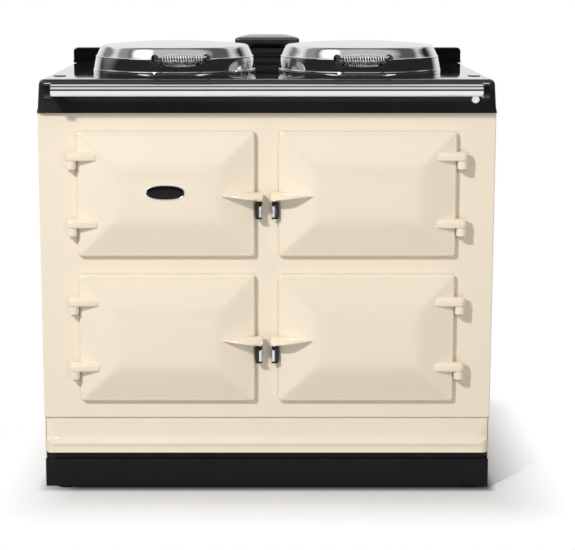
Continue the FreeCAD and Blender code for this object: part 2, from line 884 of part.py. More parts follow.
def oven_liner(door_z):
    """Right-hand cast box, open at the front, with two shelf ledges."""
    y0 = liner_front_y
    y1 = y0 + oven_depth
    half = opening_width / 2 + oven_wall
    half_height = opening_height / 2 + oven_wall
    outer = box(door_x - half, door_x + half, y0, y1 + oven_wall, door_z - half_height, door_z + half_height)
    reach = 2 * (oven_wall + oven_flange)
    flange = front_prism(door_x, door_z, opening_width + reach, opening_height + reach, opening_corner_r,
                         y0, y0 + oven_flange_thickness)
    cavity = front_prism(door_x, door_z, opening_width, opening_height, opening_corner_r, y0, y1)
    shape = outer.fuse(flange).cut(cavity)
    top = door_z - ledge_drop
    for sign in (-1, 1):
        wall_x = door_x + sign * opening_width / 2
        x0, x1 = sorted((wall_x, wall_x - sign * ledge_width))
        ledge = box(x0, x1, y0 + ledge_setback, y0 + ledge_setback + ledge_length, top - ledge_height, top)
        shape = shape.fuse(ledge)
    return shape


def oven_shelf(door_z):
    """Grid of square bars that rests on the ledges."""
    half = opening_width / 2 - shelf_gap
    y0 = liner_front_y + ledge_setback
    y1 = y0 + shelf_depth
    z0 = door_z - ledge_drop
    z1 = z0 + shelf_bar
    bars = [box(door_x - half, door_x + half, y0, y0 + shelf_bar, z0, z1),
            box(door_x - half, door_x + half, y1 - shelf_bar, y1, z0, z1)]
    step = (2 * half - shelf_bar) / (shelf_bars - 1)
    for i in range(shelf_bars):
        x = door_x - half + i * step
        bars.append(box(x, x + shelf_bar, y0, y1, z0, z1))
    return fuse(bars)


def oven_element(door_z):
    y0 = liner_front_y + ledge_setback
    z1 = door_z - opening_height / 2 - oven_wall
    half = oven_element_width / 2
    return box(door_x - half, door_x + half, y0, y0 + oven_element_depth, z1 - oven_element_thickness, z1)


def control_housing():
    """Left-hand steel box behind the upper left door, built on the right and mirrored."""
    y0 = liner_front_y
    y1 = y0 + housing_depth
    width = opening_width + 2 * housing_wall
    height = opening_height + 2 * housing_wall
    reach = 2 * oven_flange
    outer = front_prism(door_x, upper_door_z, width, height, opening_corner_r, y0, y1 + housing_wall)
    flange = front_prism(door_x, upper_door_z, width + reach, height + reach, opening_corner_r, y0,
                         y0 + housing_wall)
    cavity = front_prism(door_x, upper_door_z, opening_width, opening_height, opening_corner_r, y0, y1)
    return outer.fuse(flange).cut(cavity)


def control_panel():
    y1 = liner_front_y + housing_depth
    return front_prism(door_x, upper_door_z, control_panel_width, control_panel_height,
                       control_panel_corner_r, y1 - control_panel_thickness, y1)


def insulation():
    """Block that fills the body round the ovens and the control housing."""
    half = insulation_half_width
    y0 = face_y + insulation_front
    shape = box(-half, half, y0, insulation_back_y, frame_top_z, insulation_top_z)
    pack = 2 * (oven_wall + pack_gap)
    depth = front_thickness + oven_depth + oven_wall + pack_gap
    places = ((door_x, upper_door_z, depth), (door_x, lower_door_z, depth), (-door_x, lower_door_z, depth),
              (-door_x, upper_door_z, front_thickness + housing_depth + housing_wall + pack_gap))
    for cx, cz, reach in places:
        hollow = box(cx - (opening_width + pack) / 2, cx + (opening_width + pack) / 2, y0 - cut_over,
                     face_y + reach, cz - (opening_height + pack) / 2 - oven_element_thickness,
                     cz + (opening_height + pack) / 2)
        shape = shape.cut(hollow)
    at = Vector(0, insulation_back_y, spigot_z)
    duct = Part.makeCylinder(spigot_r - spigot_wall, duct_depth, at, -Y)
    switch_half = switch_size / 2 + pack_gap
    pocket = box(knob_x - switch_half, knob_x + switch_half, y0 - cut_over,
                 switch_front_y() + switch_depth + pack_gap, plate_top_z - knob_drop - switch_half,
                 insulation_top_z + cut_over)
    return shape.cut(duct).cut(pocket)


def hotplate():
    z1 = hotplate_proud
    z0 = z1 - hotplate_thickness
    profile = [(0, z0), (hotplate_r, z0), (hotplate_r, z1 - hotplate_chamfer),
               (hotplate_r - hotplate_chamfer, z1), (0, z1)]
    return turned(lid_x, lid_y, plate_top_z, profile)


def hotplate_element():
    z1 = hotplate_proud - hotplate_thickness
    z0 = z1 - element_thickness
    profile = [(element_inner_r, z0), (element_outer_r, z0), (element_outer_r, z1), (element_inner_r, z1)]
    return turned(lid_x, lid_y, plate_top_z, profile)


def crown(radius, z):
    """Points of the shallow domed top, from its edge to its middle."""
    shares = [1 - i / lid_crown_steps for i in range(lid_crown_steps + 1)]
    return [(radius * share, z + lid_crown * (1 - share * share)) for share in shares]


def dome_outside():
    """Outer profile of a lid from rim to crown, as radius and height over the plate."""
    return [(lid_rim_r, lid_seat_gap + lid_flange_height), (lid_rim_r, lid_rim_z),
            (lid_bead_r + lid_bead_step, lid_bead_z - lid_bead_step), (lid_bead_r + lid_bead_step, lid_bead_z),
            (lid_bead_r, lid_bead_z + lid_bead_step), (lid_shoulder_r, lid_shoulder_z),
            (lid_shoulder_r - lid_wall / 2, lid_top_z - lid_wall / 2)] + crown(lid_top_r, lid_top_z)


def dome_inside(gap):
    w = lid_wall + gap
    return [(lid_rim_r - w, lid_seat_gap + lid_flange_height), (lid_rim_r - w, lid_rim_z - gap),
            (lid_bead_r - w, lid_bead_z - w),
            (lid_shoulder_r - w, lid_shoulder_z - w)] + crown(lid_top_r - w, lid_top_z - w)


def lid_dome():
    profile = dome_outside() + list(reversed(dome_inside(0)))
    return turned(lid_x, lid_y, plate_top_z, profile)


def lid_solid():
    """The dome's outside as one filled form, to trim what meets it."""
    profile = [(0, lid_seat_gap + lid_flange_height)] + dome_outside()
    return turned(lid_x, lid_y, plate_top_z, profile)


def lid_liner():
    """Underside of a lid: a seat flange round a dish that clears the hotplate."""
    inner = lid_rim_r - lid_flange_width
    top = lid_seat_gap + lid_flange_height
    dish = liner_z + liner_thickness
    profile = [(0, liner_z), (inner - liner_slope, liner_z), (inner, lid_seat_gap), (lid_rim_r, lid_seat_gap),
               (lid_rim_r, top), (inner + liner_thickness, top), (inner + liner_thickness / 2, dish), (0, dish)]
    return turned(lid_x, lid_y, plate_top_z, profile)


def lid_insulation():
    low = liner_z + liner_thickness + pack_gap
    inner = lid_rim_r - lid_flange_width
    inside = [p for p in dome_inside(pack_gap) if p[1] > low + pack_gap]
    profile = [(0, low), (inner - liner_slope, low)] + inside
    return turned(lid_x, lid_y, plate_top_z, profile)


def dome_radius(z):
    """Radius of the dome's outside at a height between the bead and the shoulder."""
    share = (z - lid_bead_z) / (lid_shoulder_z - lid_bead_z)
    return lid_bead_r + share * (lid_shoulder_r - lid_bead_r)


def coil_centre():
    y = lid_y - dome_radius(handle_rod_z) - handle_rod_setout
    return Vector(lid_x, y, plate_top_z + handle_rod_z)


def lid_posts():
    """Two posts with turned feet and heads, and the rod between them."""
    centre = coil_centre()
    solids = []
    for sign in (-1, 1):
        x = centre.x + sign * post_spacing / 2
        stem = Part.makeCylinder(post_r, lid_y - centre.y, Vector(x, centre.y, centre.z), Y)
        half = post_spacing / 2
        foot_y = lid_y - math.sqrt(dome_radius(handle_rod_z) ** 2 - half ** 2)
        foot_y0 = foot_y - post_foot_length
        foot = Part.makeCylinder(post_foot_r, lid_y - foot_y0, Vector(x, foot_y0, centre.z), Y)
        head = Part.makeCylinder(post_head_r, post_head_length,
                                 Vector(x - post_head_length / 2, centre.y, centre.z), X)
        ends = [e for e in head.Edges if e.BoundBox.XLength < post_head_length / 2]
        head = head.makeFillet(post_head_round, ends)
        solids.append(fuse([stem, foot, head]).cut(lid_solid()))
    span = post_spacing - post_head_length
    rod = Part.makeCylinder(core_rod_r, span, Vector(centre.x - span / 2, centre.y, centre.z), X)
    return Part.makeCompound(solids + [rod])


def coil_point(turn):
    """Point and direction on the coil's centre line, after a number of turns."""
    centre = coil_centre()
    length = post_spacing - post_head_length - 2 * (coil_wire_d + coil_bend_r)
    share = turn / coil_turns
    angle = 2 * math.pi * turn
    swell = coil_mid_r - coil_end_r
    radius = coil_end_r + swell * math.sin(math.pi * share)
    rate = swell * math.pi / coil_turns * math.cos(math.pi * share)
    x = centre.x - length / 2 + length * share
    point = Vector(x, centre.y + radius * math.cos(angle), centre.z + radius * math.sin(angle))
    spin = 2 * math.pi * radius
    way = Vector(length / coil_turns, rate * math.cos(angle) - spin * math.sin(angle),
                 rate * math.sin(angle) + spin * math.cos(angle))
    return point, way.normalize()


def arc_from(start, way, end):
    """Arc that leaves start along way and arrives at end."""
    chord = end - start
    length = chord.Length
    unit = Vector(chord).normalize()
    along = way.dot(unit)
    side = way - unit * along
    if side.Length < coil_straight_limit:
        return Part.LineSegment(start, end).toShape()
    half_turn = math.acos(max(-1.0, min(1.0, along)))
    side.normalize()
    middle = (start + end) * 0.5 + side * (length / 2 * math.tan(half_turn / 2))
    return Part.Arc(start, middle, end).toShape()


def biarc(p0, t0, p1, t1):
    """Two tangent arcs from p0 along t0 to p1 along t1."""
    v = p1 - p0
    t = t0 + t1
    c = 2 * (1 - t0.dot(t1))
    vt = v.dot(t)
    square = v.dot(v)
    reach = square / (2 * vt) if c < coil_parallel_limit else (math.sqrt(vt * vt + c * square) - vt) / c
    middle = (p0 + p1 + (t0 - t1) * reach) * 0.5
    return [arc_from(p0, t0, middle), arc_from(p1, t1 * -1, middle)]


def grip_turned(side, shape):
    """The left lid's grip stands a little way round from the front, towards the middle."""
    if side == "left":
        shape.rotate(Vector(lid_x, lid_y, 0), Z, -left_grip_turn)
    return shape


def lid_coil():
    """Barrel-shaped wire coil between the posts, one unbroken tube."""
    centre = coil_centre()
    steps = coil_turns * coil_knots_per_turn
    knots = [coil_point(i / coil_knots_per_turn) for i in range(steps + 1)]
    face = (post_spacing - post_head_length) / 2
    lead = coil_bend_r / coil_end_r
    side = coil_end_r * math.cos(lead)
    drop = coil_end_r * math.sin(lead)
    start = Vector(centre.x - face, centre.y + side, centre.z - drop)
    first = start + X * coil_wire_d
    finish = Vector(centre.x + face, centre.y + side, centre.z + drop)
    last = finish - X * coil_wire_d
    line = [(first, Vector(X))] + knots + [(last, Vector(X))]
    edges = [Part.LineSegment(start, first).toShape()]
    for (p0, t0), (p1, t1) in zip(line[:-1], line[1:]):
        edges += biarc(p0, t0, p1, t1)
    edges.append(Part.LineSegment(last, finish).toShape())
    radii = [e.Curve.Radius for e in edges if hasattr(e.Curve, "Radius")]
    print("coil: least bend radius", round(min(radii), 2), "wire", coil_wire_d)
    path = Part.Wire(Part.__sortEdges__(edges))
    points = path.discretize(Distance=coil_sample)
    print("coil: least gap to itself", round(self_gap(points), 2))
    section = Part.Wire([Part.Circle(start, X, coil_wire_d / 2).toShape()])
    tube = path.makePipeShell([section], True, False)
    print("coil: volume over section times length",
          round(tube.Volume / (math.pi * coil_wire_d ** 2 / 4 * path.Length), 4))
    return tube


def self_gap(points):
    """Least clear distance between stretches of the tube that lie well apart along it."""
    skip = math.ceil(coil_near / coil_sample)
    least = math.inf
    for i, p in enumerate(points):
        for q in points[i + skip:]:
            least = min(least, (p - q).Length)
    return least - coil_wire_d


def lid_arm():
    """Hinge arm from the dome's back to a barrel on the pin."""
    half = lid_arm_width / 2
    z = plate_top_z + lid_axis_z
    beam = box(lid_x - half, lid_x + half, lid_y + lid_bead_r - lid_arm_height, lid_axis_y,
               z - lid_arm_height / 2 + lid_seat_gap, z + lid_arm_height / 2)
    barrel = Part.makeCylinder(lid_barrel_r, lid_arm_width, Vector(lid_x - half, lid_axis_y, z), X)
    bore = Part.makeCylinder(hinge_pin_r + bore_fit, lid_arm_width, Vector(lid_x - half, lid_axis_y, z), X)
    seat = turned(lid_x, lid_y, plate_top_z, [(0, 0), (lid_rim_r, 0), (lid_rim_r, lid_rim_z),
                                              (lid_bead_r + lid_bead_step, lid_bead_z - lid_bead_step),
                                              (0, lid_bead_z - lid_bead_step)])
    return beam.fuse(barrel).cut(bore).cut(seat)


def lid_bracket():
    """Two ears and the bridge behind them, on the top plate."""
    z = plate_top_z
    shapes = []
    inner = lid_arm_width / 2 + lid_ear_gap
    outer = inner + lid_ear_width
    y0 = lid_axis_y - lid_ear_length / 2
    y1 = lid_axis_y + lid_ear_length / 2
    for sign in (-1, 1):
        x0, x1 = sorted((lid_x + sign * inner, lid_x + sign * outer))
        ear = box(x0, x1, y0, y1, z, z + lid_axis_z)
        at = Vector(x0, lid_axis_y, z + lid_axis_z)
        crown = Part.makeCylinder(lid_ear_r, lid_ear_width, at, X)
        bore = Part.makeCylinder(hinge_pin_r + bore_fit, lid_ear_width, at, X)
        shapes.append(ear.fuse(crown).cut(bore))
    bridge = box(lid_x - outer, lid_x + outer, y1, y1 + lid_bridge_depth, z, z + lid_bridge_height)
    return fuse(shapes + [bridge])


def lid_pin():
    half = lid_arm_width / 2 + lid_ear_gap + lid_ear_width
    at = Vector(lid_x - half, lid_axis_y, plate_top_z + lid_axis_z)
    return Part.makeCylinder(hinge_pin_r, 2 * half, at, X)


def skirt():
    """Ogee moulding: cove, bead and flat, on the front of the base."""
    half = skirt_width / 2
    y0 = face_y
    y_out = y0 - skirt_reach
    y_flat = y_out + skirt_bead_swell
    y_back = y0 + skirt_back
    z_top = front_bottom_z
    z_cove = z_top - skirt_cove_rise
    z_bead = z_cove - skirt_bead_height
    k = skirt_round * (1 - math.sqrt(0.5))
    top = Vector(-half, y0, z_top)
    cove_end = Vector(-half, y_flat, z_cove)
    cove_mid = Vector(-half, y0 - skirt_cove_reach, (z_top + z_cove) / 2)
    bead_mid = Vector(-half, y_out, (z_cove + z_bead) / 2)
    bead_end = Vector(-half, y_flat, z_bead)
    low = Vector(-half, y_flat, skirt_bottom_z + skirt_round)
    low_mid = Vector(-half, y_flat + k, skirt_bottom_z + k)
    low_in = Vector(-half, y_flat + skirt_round, skirt_bottom_z)
    back_low = Vector(-half, y_back, skirt_bottom_z)
    back_top = Vector(-half, y_back, z_top)
    edges = [Part.Arc(top, cove_mid, cove_end).toShape(), Part.Arc(cove_end, bead_mid, bead_end).toShape(),
             Part.LineSegment(bead_end, low).toShape(), Part.Arc(low, low_mid, low_in).toShape(),
             Part.LineSegment(low_in, back_low).toShape(), Part.LineSegment(back_low, back_top).toShape(),
             Part.LineSegment(back_top, top).toShape()]
    return Part.Face(Part.Wire(edges)).extrude(Vector(skirt_width, 0, 0))


def vent_strip():
    """Recessed black strip under the skirt with a row of slots."""
    half = strip_width / 2
    y0 = face_y + skirt_back
    shape = box(-half, half, y0, y0 + panel_thickness, strip_bottom_z, frame_top_z)
    pitch = strip_width / strip_slots
    mid = (plinth_top_z + skirt_bottom_z) / 2
    for i in range(strip_slots):
        x = -half + pitch * (i + 1 / 2)
        shape = shape.cut(box(x - strip_slot_length / 2, x + strip_slot_length / 2, y0 - cut_over,
                              y0 + panel_thickness + cut_over, mid - strip_slot_height / 2,
                              mid + strip_slot_height / 2))
    return shape


def plinth():
    half = body_width / 2
    y0 = face_y + plinth_setback
    y1 = back_y - plinth_back_gap
    outer = box(-half, half, y0, y1, plinth_bottom_z, plinth_top_z)
    inner = box(-half + plinth_thickness, half - plinth_thickness, y0 + plinth_thickness,
                y1 + cut_over, plinth_bottom_z - cut_over, plinth_top_z + cut_over)
    return outer.cut(inner)


def frame_front_y():
    return face_y + skirt_back + panel_thickness


def frame_back_y():
    return back_y - frame_back_gap


def base_frame():
    """Floor tray with turned-down walls, a middle web and a boss over each foot."""
    half = frame_half_width
    y0 = frame_front_y()
    y1 = frame_back_y()
    outer = box(-half, half, y0, y1, frame_bottom_z, frame_top_z)
    under_z = frame_top_z - tray_floor
    inner = box(-half + tray_wall, half - tray_wall, y0 + tray_wall, y1 - tray_wall,
                frame_bottom_z - cut_over, under_z)
    web = box(-tray_wall / 2, tray_wall / 2, y0, y1, frame_bottom_z, under_z)
    shape = fuse([outer.cut(inner), web])
    for x, y in foot_places():
        at = Vector(x, y, frame_bottom_z)
        boss = Part.makeCylinder(frame_boss_r, under_z - frame_bottom_z, at, Z)
        bore = Part.makeCylinder(foot_stem_r + foot_stem_fit, under_z - frame_bottom_z, at, Z)
        shape = shape.fuse(boss).cut(bore)
    return shape


def foot_places():
    x = frame_half_width - foot_inset
    y0 = frame_front_y() + foot_inset
    y1 = frame_back_y() - foot_inset
    return [(-x, y0), (x, y0), (-x, y1), (x, y1)]


def levelling_foot(x, y):
    pad = Part.makeCylinder(foot_pad_r, foot_pad_height, Vector(x, y, 0), Z)
    rim = [e for e in pad.Edges if e.BoundBox.ZMin > foot_pad_height / 2]
    pad = pad.makeChamfer(foot_pad_chamfer, rim)
    top = frame_top_z - tray_floor - foot_top_gap
    stem = Part.makeCylinder(foot_stem_r, top - foot_pad_height, Vector(x, y, foot_pad_height), Z)
    return fuse([pad, stem])


def side_panel():
    """Right-hand panel with returned edges front and back."""
    x1 = body_width / 2
    x0 = x1 - panel_thickness
    y0 = liner_front_y
    z0 = plinth_top_z
    sheet = box(x0, x1, y0, back_y, z0, plate_bottom_z)
    back = box(x1 - panel_hem, x1, back_y - panel_thickness, back_y, z0, plate_bottom_z)
    top = box(x1 - panel_hem, x1, y0, back_y, plate_bottom_z - panel_thickness, plate_bottom_z)
    low = box(x1 - panel_return, x1, y0 + panel_return, back_y, z0, z0 + panel_thickness)
    return fuse([sheet, back, top, low])


def back_panel():
    """Rear sheet with its cable hole, and the flanged vent spigot through it."""
    half = body_width / 2
    sheet = box(-half, half, back_y, back_y + panel_thickness, plinth_top_z, plate_bottom_z)
    at = Vector(-gland_x, back_y - cut_over, gland_z)
    sheet = sheet.cut(Part.makeCylinder(gland_neck_r + bore_fit, 2 * cut_over, at, Y))
    at = Vector(0, back_y, spigot_z)
    tube = Part.makeCylinder(spigot_r, spigot_length, at, Y)
    flange = Part.makeCylinder(spigot_flange_r, spigot_flange_thickness, at + Y * panel_thickness, Y)
    bore = Part.makeCylinder(spigot_r - spigot_wall, spigot_length, at, Y)
    sheet = sheet.cut(Part.makeCylinder(spigot_r + bore_fit, panel_thickness, at, Y))
    return Part.makeCompound([sheet, tube.fuse(flange).cut(bore)])


def cable_gland():
    """Threaded gland body through the back panel with a hexagonal nut outside."""
    at = Vector(-gland_x, back_y + panel_thickness, gland_z)
    corners = []
    for i in range(6):
        angle = math.pi / 3 * i
        corners.append(at + Vector(gland_nut_r * math.cos(angle), 0, gland_nut_r * math.sin(angle)))
    nut = polygon(corners).extrude(Vector(0, gland_nut_length, 0))
    body = Part.makeCylinder(gland_r, gland_length, at, Y)
    neck = Part.makeCylinder(gland_neck_r, panel_thickness, at - Y * panel_thickness, Y)
    bore = Part.makeCylinder(gland_hole_r, gland_length + 2 * cut_over, at - Y * cut_over, Y)
    return fuse([nut, body, neck]).cut(bore)


DOORS = (("upper_left", "left", upper_door_z), ("upper_right", "right", upper_door_z),
         ("lower_left", "left", lower_door_z), ("lower_right", "right", lower_door_z))

save("top_plate", top_plate())
save("corner_plugs", Part.makeCompound([corner_plug(-plug_x), corner_plug(plug_x)]))
save("rear_upstand", upstand())
save("vent_cowl", vent_cowl())
save("vent_cap", vent_cap())
save("handrail", handrail())
bracket = rail_bracket()
save("rail_brackets", Part.makeCompound([mirror(bracket), bracket]))
save("selector_knob", knob())
save("selector_switch", switch())
save("front_plate", front_plate())
save("side_panel_right", side_panel())
save("side_panel_left", mirror(side_panel()))
save("back_panel", back_panel())
save("cable_gland", cable_gland())
save("base_skirt", skirt())
save("vent_strip", vent_strip())
save("plinth_panel", plinth())
save("base_frame", base_frame())
save("levelling_feet", Part.makeCompound([levelling_foot(x, y) for x, y in foot_places()]))
save("body_insulation", insulation())
save("control_housing", mirror(control_housing()))
save("control_panel", mirror(control_panel()))

pins = []
brackets = []
elements = [hotplate_element(), mirror(hotplate_element())]
shelves = []
for name, side, z in DOORS:
    controls = name == "upper_left"
    pan = door_pan(z, control_pan_depth if controls else pan_depth)
    save("door_" + name, handed(side, door_casting(z, controls)))
    save("door_pan_" + name, handed(side, pan))
    pins += [handed(side, door_pin(arm_z)) for arm_z in hinge_heights(z)]
    upper = z == upper_door_z
    length = upper_roller_length if upper else lower_roller_length
    band = upper_roller_band if upper else lower_roller_length
    brackets.append(handed(side, catch_bracket(z, length)))
    save("catch_roller_" + name, handed(side, roller(z, length, band)))
    if not controls:
        save("door_insulation_" + name, handed(side, door_insulation(z)))
        save("oven_liner_" + name, handed(side, oven_liner(z)))
        shelves.append(handed(side, oven_shelf(z)))
        elements.append(handed(side, oven_element(z)))
save("door_catch_brackets", Part.makeCompound(brackets))
save("oven_shelves", Part.makeCompound(shelves))
save("heating_elements", Part.makeCompound(elements))
save("badge_plate", badge())

lid_brackets = []
for side in ("left", "right"):
    save("hotplate_" + side, handed(side, hotplate()))
    save("lid_dome_" + side, handed(side, lid_dome()))
    save("lid_liner_" + side, handed(side, lid_liner()))
    save("lid_insulation_" + side, handed(side, lid_insulation()))
    save("lid_posts_" + side, handed(side, grip_turned(side, lid_posts())))
    save("lid_coil_" + side, handed(side, grip_turned(side, lid_coil())))
    save("lid_arm_" + side, handed(side, lid_arm()))
    lid_brackets.append(handed(side, lid_bracket()))
    pins.append(handed(side, lid_pin()))
save("lid_hinge_brackets", Part.makeCompound(lid_brackets))
save("hinge_pins", Part.makeCompound(pins))
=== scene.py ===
# Looks of the range cooker: finishes, modelled meshes, floor, light and camera round the CAD frame

import json
import math

import bmesh
import bpy
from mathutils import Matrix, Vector

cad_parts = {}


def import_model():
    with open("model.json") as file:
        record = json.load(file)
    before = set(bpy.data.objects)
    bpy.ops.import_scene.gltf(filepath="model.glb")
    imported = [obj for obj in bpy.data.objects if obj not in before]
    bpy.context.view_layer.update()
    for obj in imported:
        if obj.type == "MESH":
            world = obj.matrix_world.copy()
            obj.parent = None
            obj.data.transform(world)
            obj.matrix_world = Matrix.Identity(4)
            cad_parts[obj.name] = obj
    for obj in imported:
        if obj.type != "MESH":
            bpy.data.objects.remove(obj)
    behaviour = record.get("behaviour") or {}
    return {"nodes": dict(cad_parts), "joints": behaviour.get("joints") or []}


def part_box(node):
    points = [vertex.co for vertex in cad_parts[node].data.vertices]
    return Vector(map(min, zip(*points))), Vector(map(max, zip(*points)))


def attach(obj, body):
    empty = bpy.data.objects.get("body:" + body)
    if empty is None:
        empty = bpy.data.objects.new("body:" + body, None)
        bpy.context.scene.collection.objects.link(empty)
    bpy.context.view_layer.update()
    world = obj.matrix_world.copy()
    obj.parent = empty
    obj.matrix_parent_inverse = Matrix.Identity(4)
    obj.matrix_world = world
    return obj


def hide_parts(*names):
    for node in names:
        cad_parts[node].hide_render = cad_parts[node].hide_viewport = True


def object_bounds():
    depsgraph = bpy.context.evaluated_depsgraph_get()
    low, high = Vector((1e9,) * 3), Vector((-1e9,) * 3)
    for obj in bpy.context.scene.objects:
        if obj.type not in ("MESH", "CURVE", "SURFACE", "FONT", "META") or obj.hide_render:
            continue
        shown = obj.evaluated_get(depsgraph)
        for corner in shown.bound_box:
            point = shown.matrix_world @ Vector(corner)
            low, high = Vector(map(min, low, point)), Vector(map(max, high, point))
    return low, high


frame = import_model()
CAD_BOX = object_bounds()
NODES = frame["nodes"]
MM = 0.001
SIDES = ("left", "right")
PLACES = ("upper_left", "upper_right", "lower_left", "lower_right")


def each(stem, ends):
    """Names of the like nodes that differ in their ends."""
    return tuple(stem + "_" + end for end in ends)


def middle(low, high):
    return [(a + b) / 2 for a, b in zip(low, high)]


def srgb(r, g, b):
    """Colour as read on a screen, 0 to 255, in the linear values of a shader."""
    def linear(v):
        v /= 255
        return v / 12.92 if v <= 0.04045 else ((v + 0.055) / 1.055) ** 2.4
    return (linear(r), linear(g), linear(b), 1.0)


def shade(colour, factor):
    return tuple(min(1.0, c * factor) for c in colour[:3]) + (1.0,)


# Node trees


class Graph:
    """Short way to add and link the nodes of one tree."""

    def __init__(self, tree):
        self.tree = tree
        tree.nodes.clear()

    def add(self, kind, **inputs):
        node = self.tree.nodes.new("ShaderNode" + kind)
        for key, value in inputs.items():
            self.feed(node.inputs[key.replace("_", " ")], value)
        return node

    def link(self, a, b):
        self.tree.links.new(a, b)

    def feed(self, socket, value):
        """Gives a socket its own value, or links another node's output to it."""
        if isinstance(value, (int, float, tuple)):
            socket.default_value = value
        else:
            self.link(value, socket)

    def math(self, kind, a, b=None):
        node = self.add("Math")
        node.operation = kind
        self.feed(node.inputs[0], a)
        if b is not None:
            self.feed(node.inputs[1], b)
        return node.outputs[0]

    def length(self, a, b):
        """Root of the sum of two squares."""
        return self.math("SQRT", self.math("ADD", self.math("MULTIPLY", a, a), self.math("MULTIPLY", b, b)))

    def split(self, vector):
        parts = self.add("SeparateXYZ")
        self.link(vector, parts.inputs[0])
        return parts.outputs

    def blend(self, factor, a, b):
        """Mix of two shaders."""
        node = self.add("MixShader")
        for socket, value in zip(node.inputs, (factor, a, b)):
            self.link(value, socket)
        return node.outputs[0]


class Nodes(Graph):
    """The tree of one material, with a Principled shader."""

    def __init__(self, name):
        self.material = bpy.data.materials.new(name)
        self.material.use_nodes = True
        super().__init__(self.material.node_tree)
        self.output = self.add("OutputMaterial")
        self.shader = self.add("BsdfPrincipled")
        self.link(self.shader.outputs[0], self.output.inputs[0])
        self.place = self.add("TexCoord").outputs["Object"]

    def stretched(self, scale):
        mapping = self.add("Mapping", Scale=scale, Vector=self.place)
        return mapping.outputs[0]

    def noise(self, scale, detail=3.0, rough=0.5, vector=None):
        node = self.add("TexNoise", Scale=scale, Detail=detail, Roughness=rough)
        self.link(vector or self.place, node.inputs["Vector"])
        return node.outputs["Fac"]

    def ramp(self, value, low, high, start=0.3, end=0.7):
        node = self.add("ValToRGB")
        for element, position, colour in zip(node.color_ramp.elements, (start, end), (low, high)):
            element.position = position
            element.color = colour
        self.link(value, node.inputs[0])
        return node.outputs[0]

    def range(self, value, low, high, start=0.3, end=0.7):
        node = self.add("MapRange", From_Min=start, From_Max=end, To_Min=low, To_Max=high)
        self.link(value, node.inputs["Value"])
        return node.outputs[0]

    def mix(self, factor, a, b):
        """Mix of two colours. The node keeps its colour sockets at inputs 6 and 7."""
        node = self.add("Mix")
        node.data_type = "RGBA"
        for socket, value in ((node.inputs[0], factor), (node.inputs[6], a), (node.inputs[7], b)):
            self.feed(socket, value)
        return node.outputs[2]

    def bump(self, *layers):
        """Layers are pairs of a height and its depth in metres."""
        normal = None
        for height, depth in layers:
            node = self.add("Bump", Strength=1.0, Distance=depth, Height=height)
            if normal is not None:
                self.link(normal, node.inputs["Normal"])
            normal = node.outputs[0]
        self.link(normal, self.shader.inputs["Normal"])

    def set(self, **values):
        for key, value in values.items():
            self.feed(self.shader.inputs[key.replace("_", " ")], value)


# Kinds of finish


def enamel(name, colour, rough, variation, ripple, speck=0.0, ior=1.52, coat=0.25):
    """Vitreous enamel: deep gloss over a faintly rippled, slightly uneven colour."""
    n = Nodes(name)
    base = n.ramp(n.noise(5.0, 4.0), shade(colour, 1 - variation), shade(colour, 1 + variation))
    if speck:
        base = n.mix(n.range(n.noise(900.0, 1.0), 0.0, speck, 0.68, 0.76), base, shade(colour, 0.55))
    n.set(Base_Color=base, Roughness=n.range(n.noise(40.0, 5.0, 0.6), rough * 0.8, rough * 1.35))
    n.set(IOR=ior, Coat_Weight=coat, Coat_Roughness=0.03)
    n.bump((n.noise(55.0, 1.0), ripple), (n.noise(260.0, 2.0), ripple * 0.25))
    return n.material


def polished(name, colour, rough, scratch=60.0, ripple=0.00002):
    """Bright metal with fine wiping scratches and a little waviness."""
    n = Nodes(name)
    lines = n.noise(scratch * 6, 2.0, 0.7, n.stretched((1.0, 9.0, 2.5)))
    smear = n.noise(14.0, 4.0, 0.6)
    scratched = n.range(lines, 0.0, rough * 0.8, 0.45, 0.8)
    wear = n.math("ADD", scratched, n.range(smear, rough * 0.6, rough * 1.5))
    n.set(Base_Color=n.ramp(smear, shade(colour, 0.96), colour), Metallic=1.0, Roughness=wear)
    n.bump((n.noise(9.0, 1.0), ripple * 4), (lines, ripple * 0.1))
    return n.material


def brushed(name, colour, rough, axis_scale, depth=0.00002):
    """Metal with a drawn or brushed grain along one way."""
    n = Nodes(name)
    grain = n.noise(380.0, 3.0, 0.6, n.stretched(axis_scale))
    cloudy = n.ramp(n.noise(12.0, 4.0), shade(colour, 0.93), shade(colour, 1.03))
    n.set(Base_Color=n.mix(n.range(grain, 0.0, 0.25), cloudy, shade(colour, 0.75)))
    n.set(Metallic=1.0, Roughness=n.range(grain, rough * 0.8, rough * 1.3))
    n.bump((grain, depth))
    return n.material


def turned_grain(name, colour, rough, centres, depth=0.00001, metallic=1.0, pitch=900.0):
    """Satin metal with a fine circular grain about one or more upright axes."""
    n = Nodes(name)
    x, y, z = n.split(n.place)
    radius = None
    for cx, cy in centres:
        r = n.length(n.math("SUBTRACT", x, cx), n.math("SUBTRACT", y, cy))
        radius = r if radius is None else n.math("MINIMUM", radius, r)
    across = n.add("CombineXYZ", X=radius, Y=n.math("MULTIPLY", z, 0.3))
    rings = n.noise(pitch, 2.0, 0.6, across.outputs[0])
    cloudy = n.ramp(n.noise(10.0, 4.0), shade(colour, 0.97), colour)
    n.set(Base_Color=n.mix(n.range(rings, 0.0, 0.18), cloudy, shade(colour, 0.8)))
    n.set(Metallic=metallic, Roughness=n.math("ADD", n.range(rings, rough * 0.85, rough * 1.1),
                                             n.range(n.noise(60.0, 3.0), 0.0, rough * 0.25)))
    n.bump((rings, depth))
    return n.material


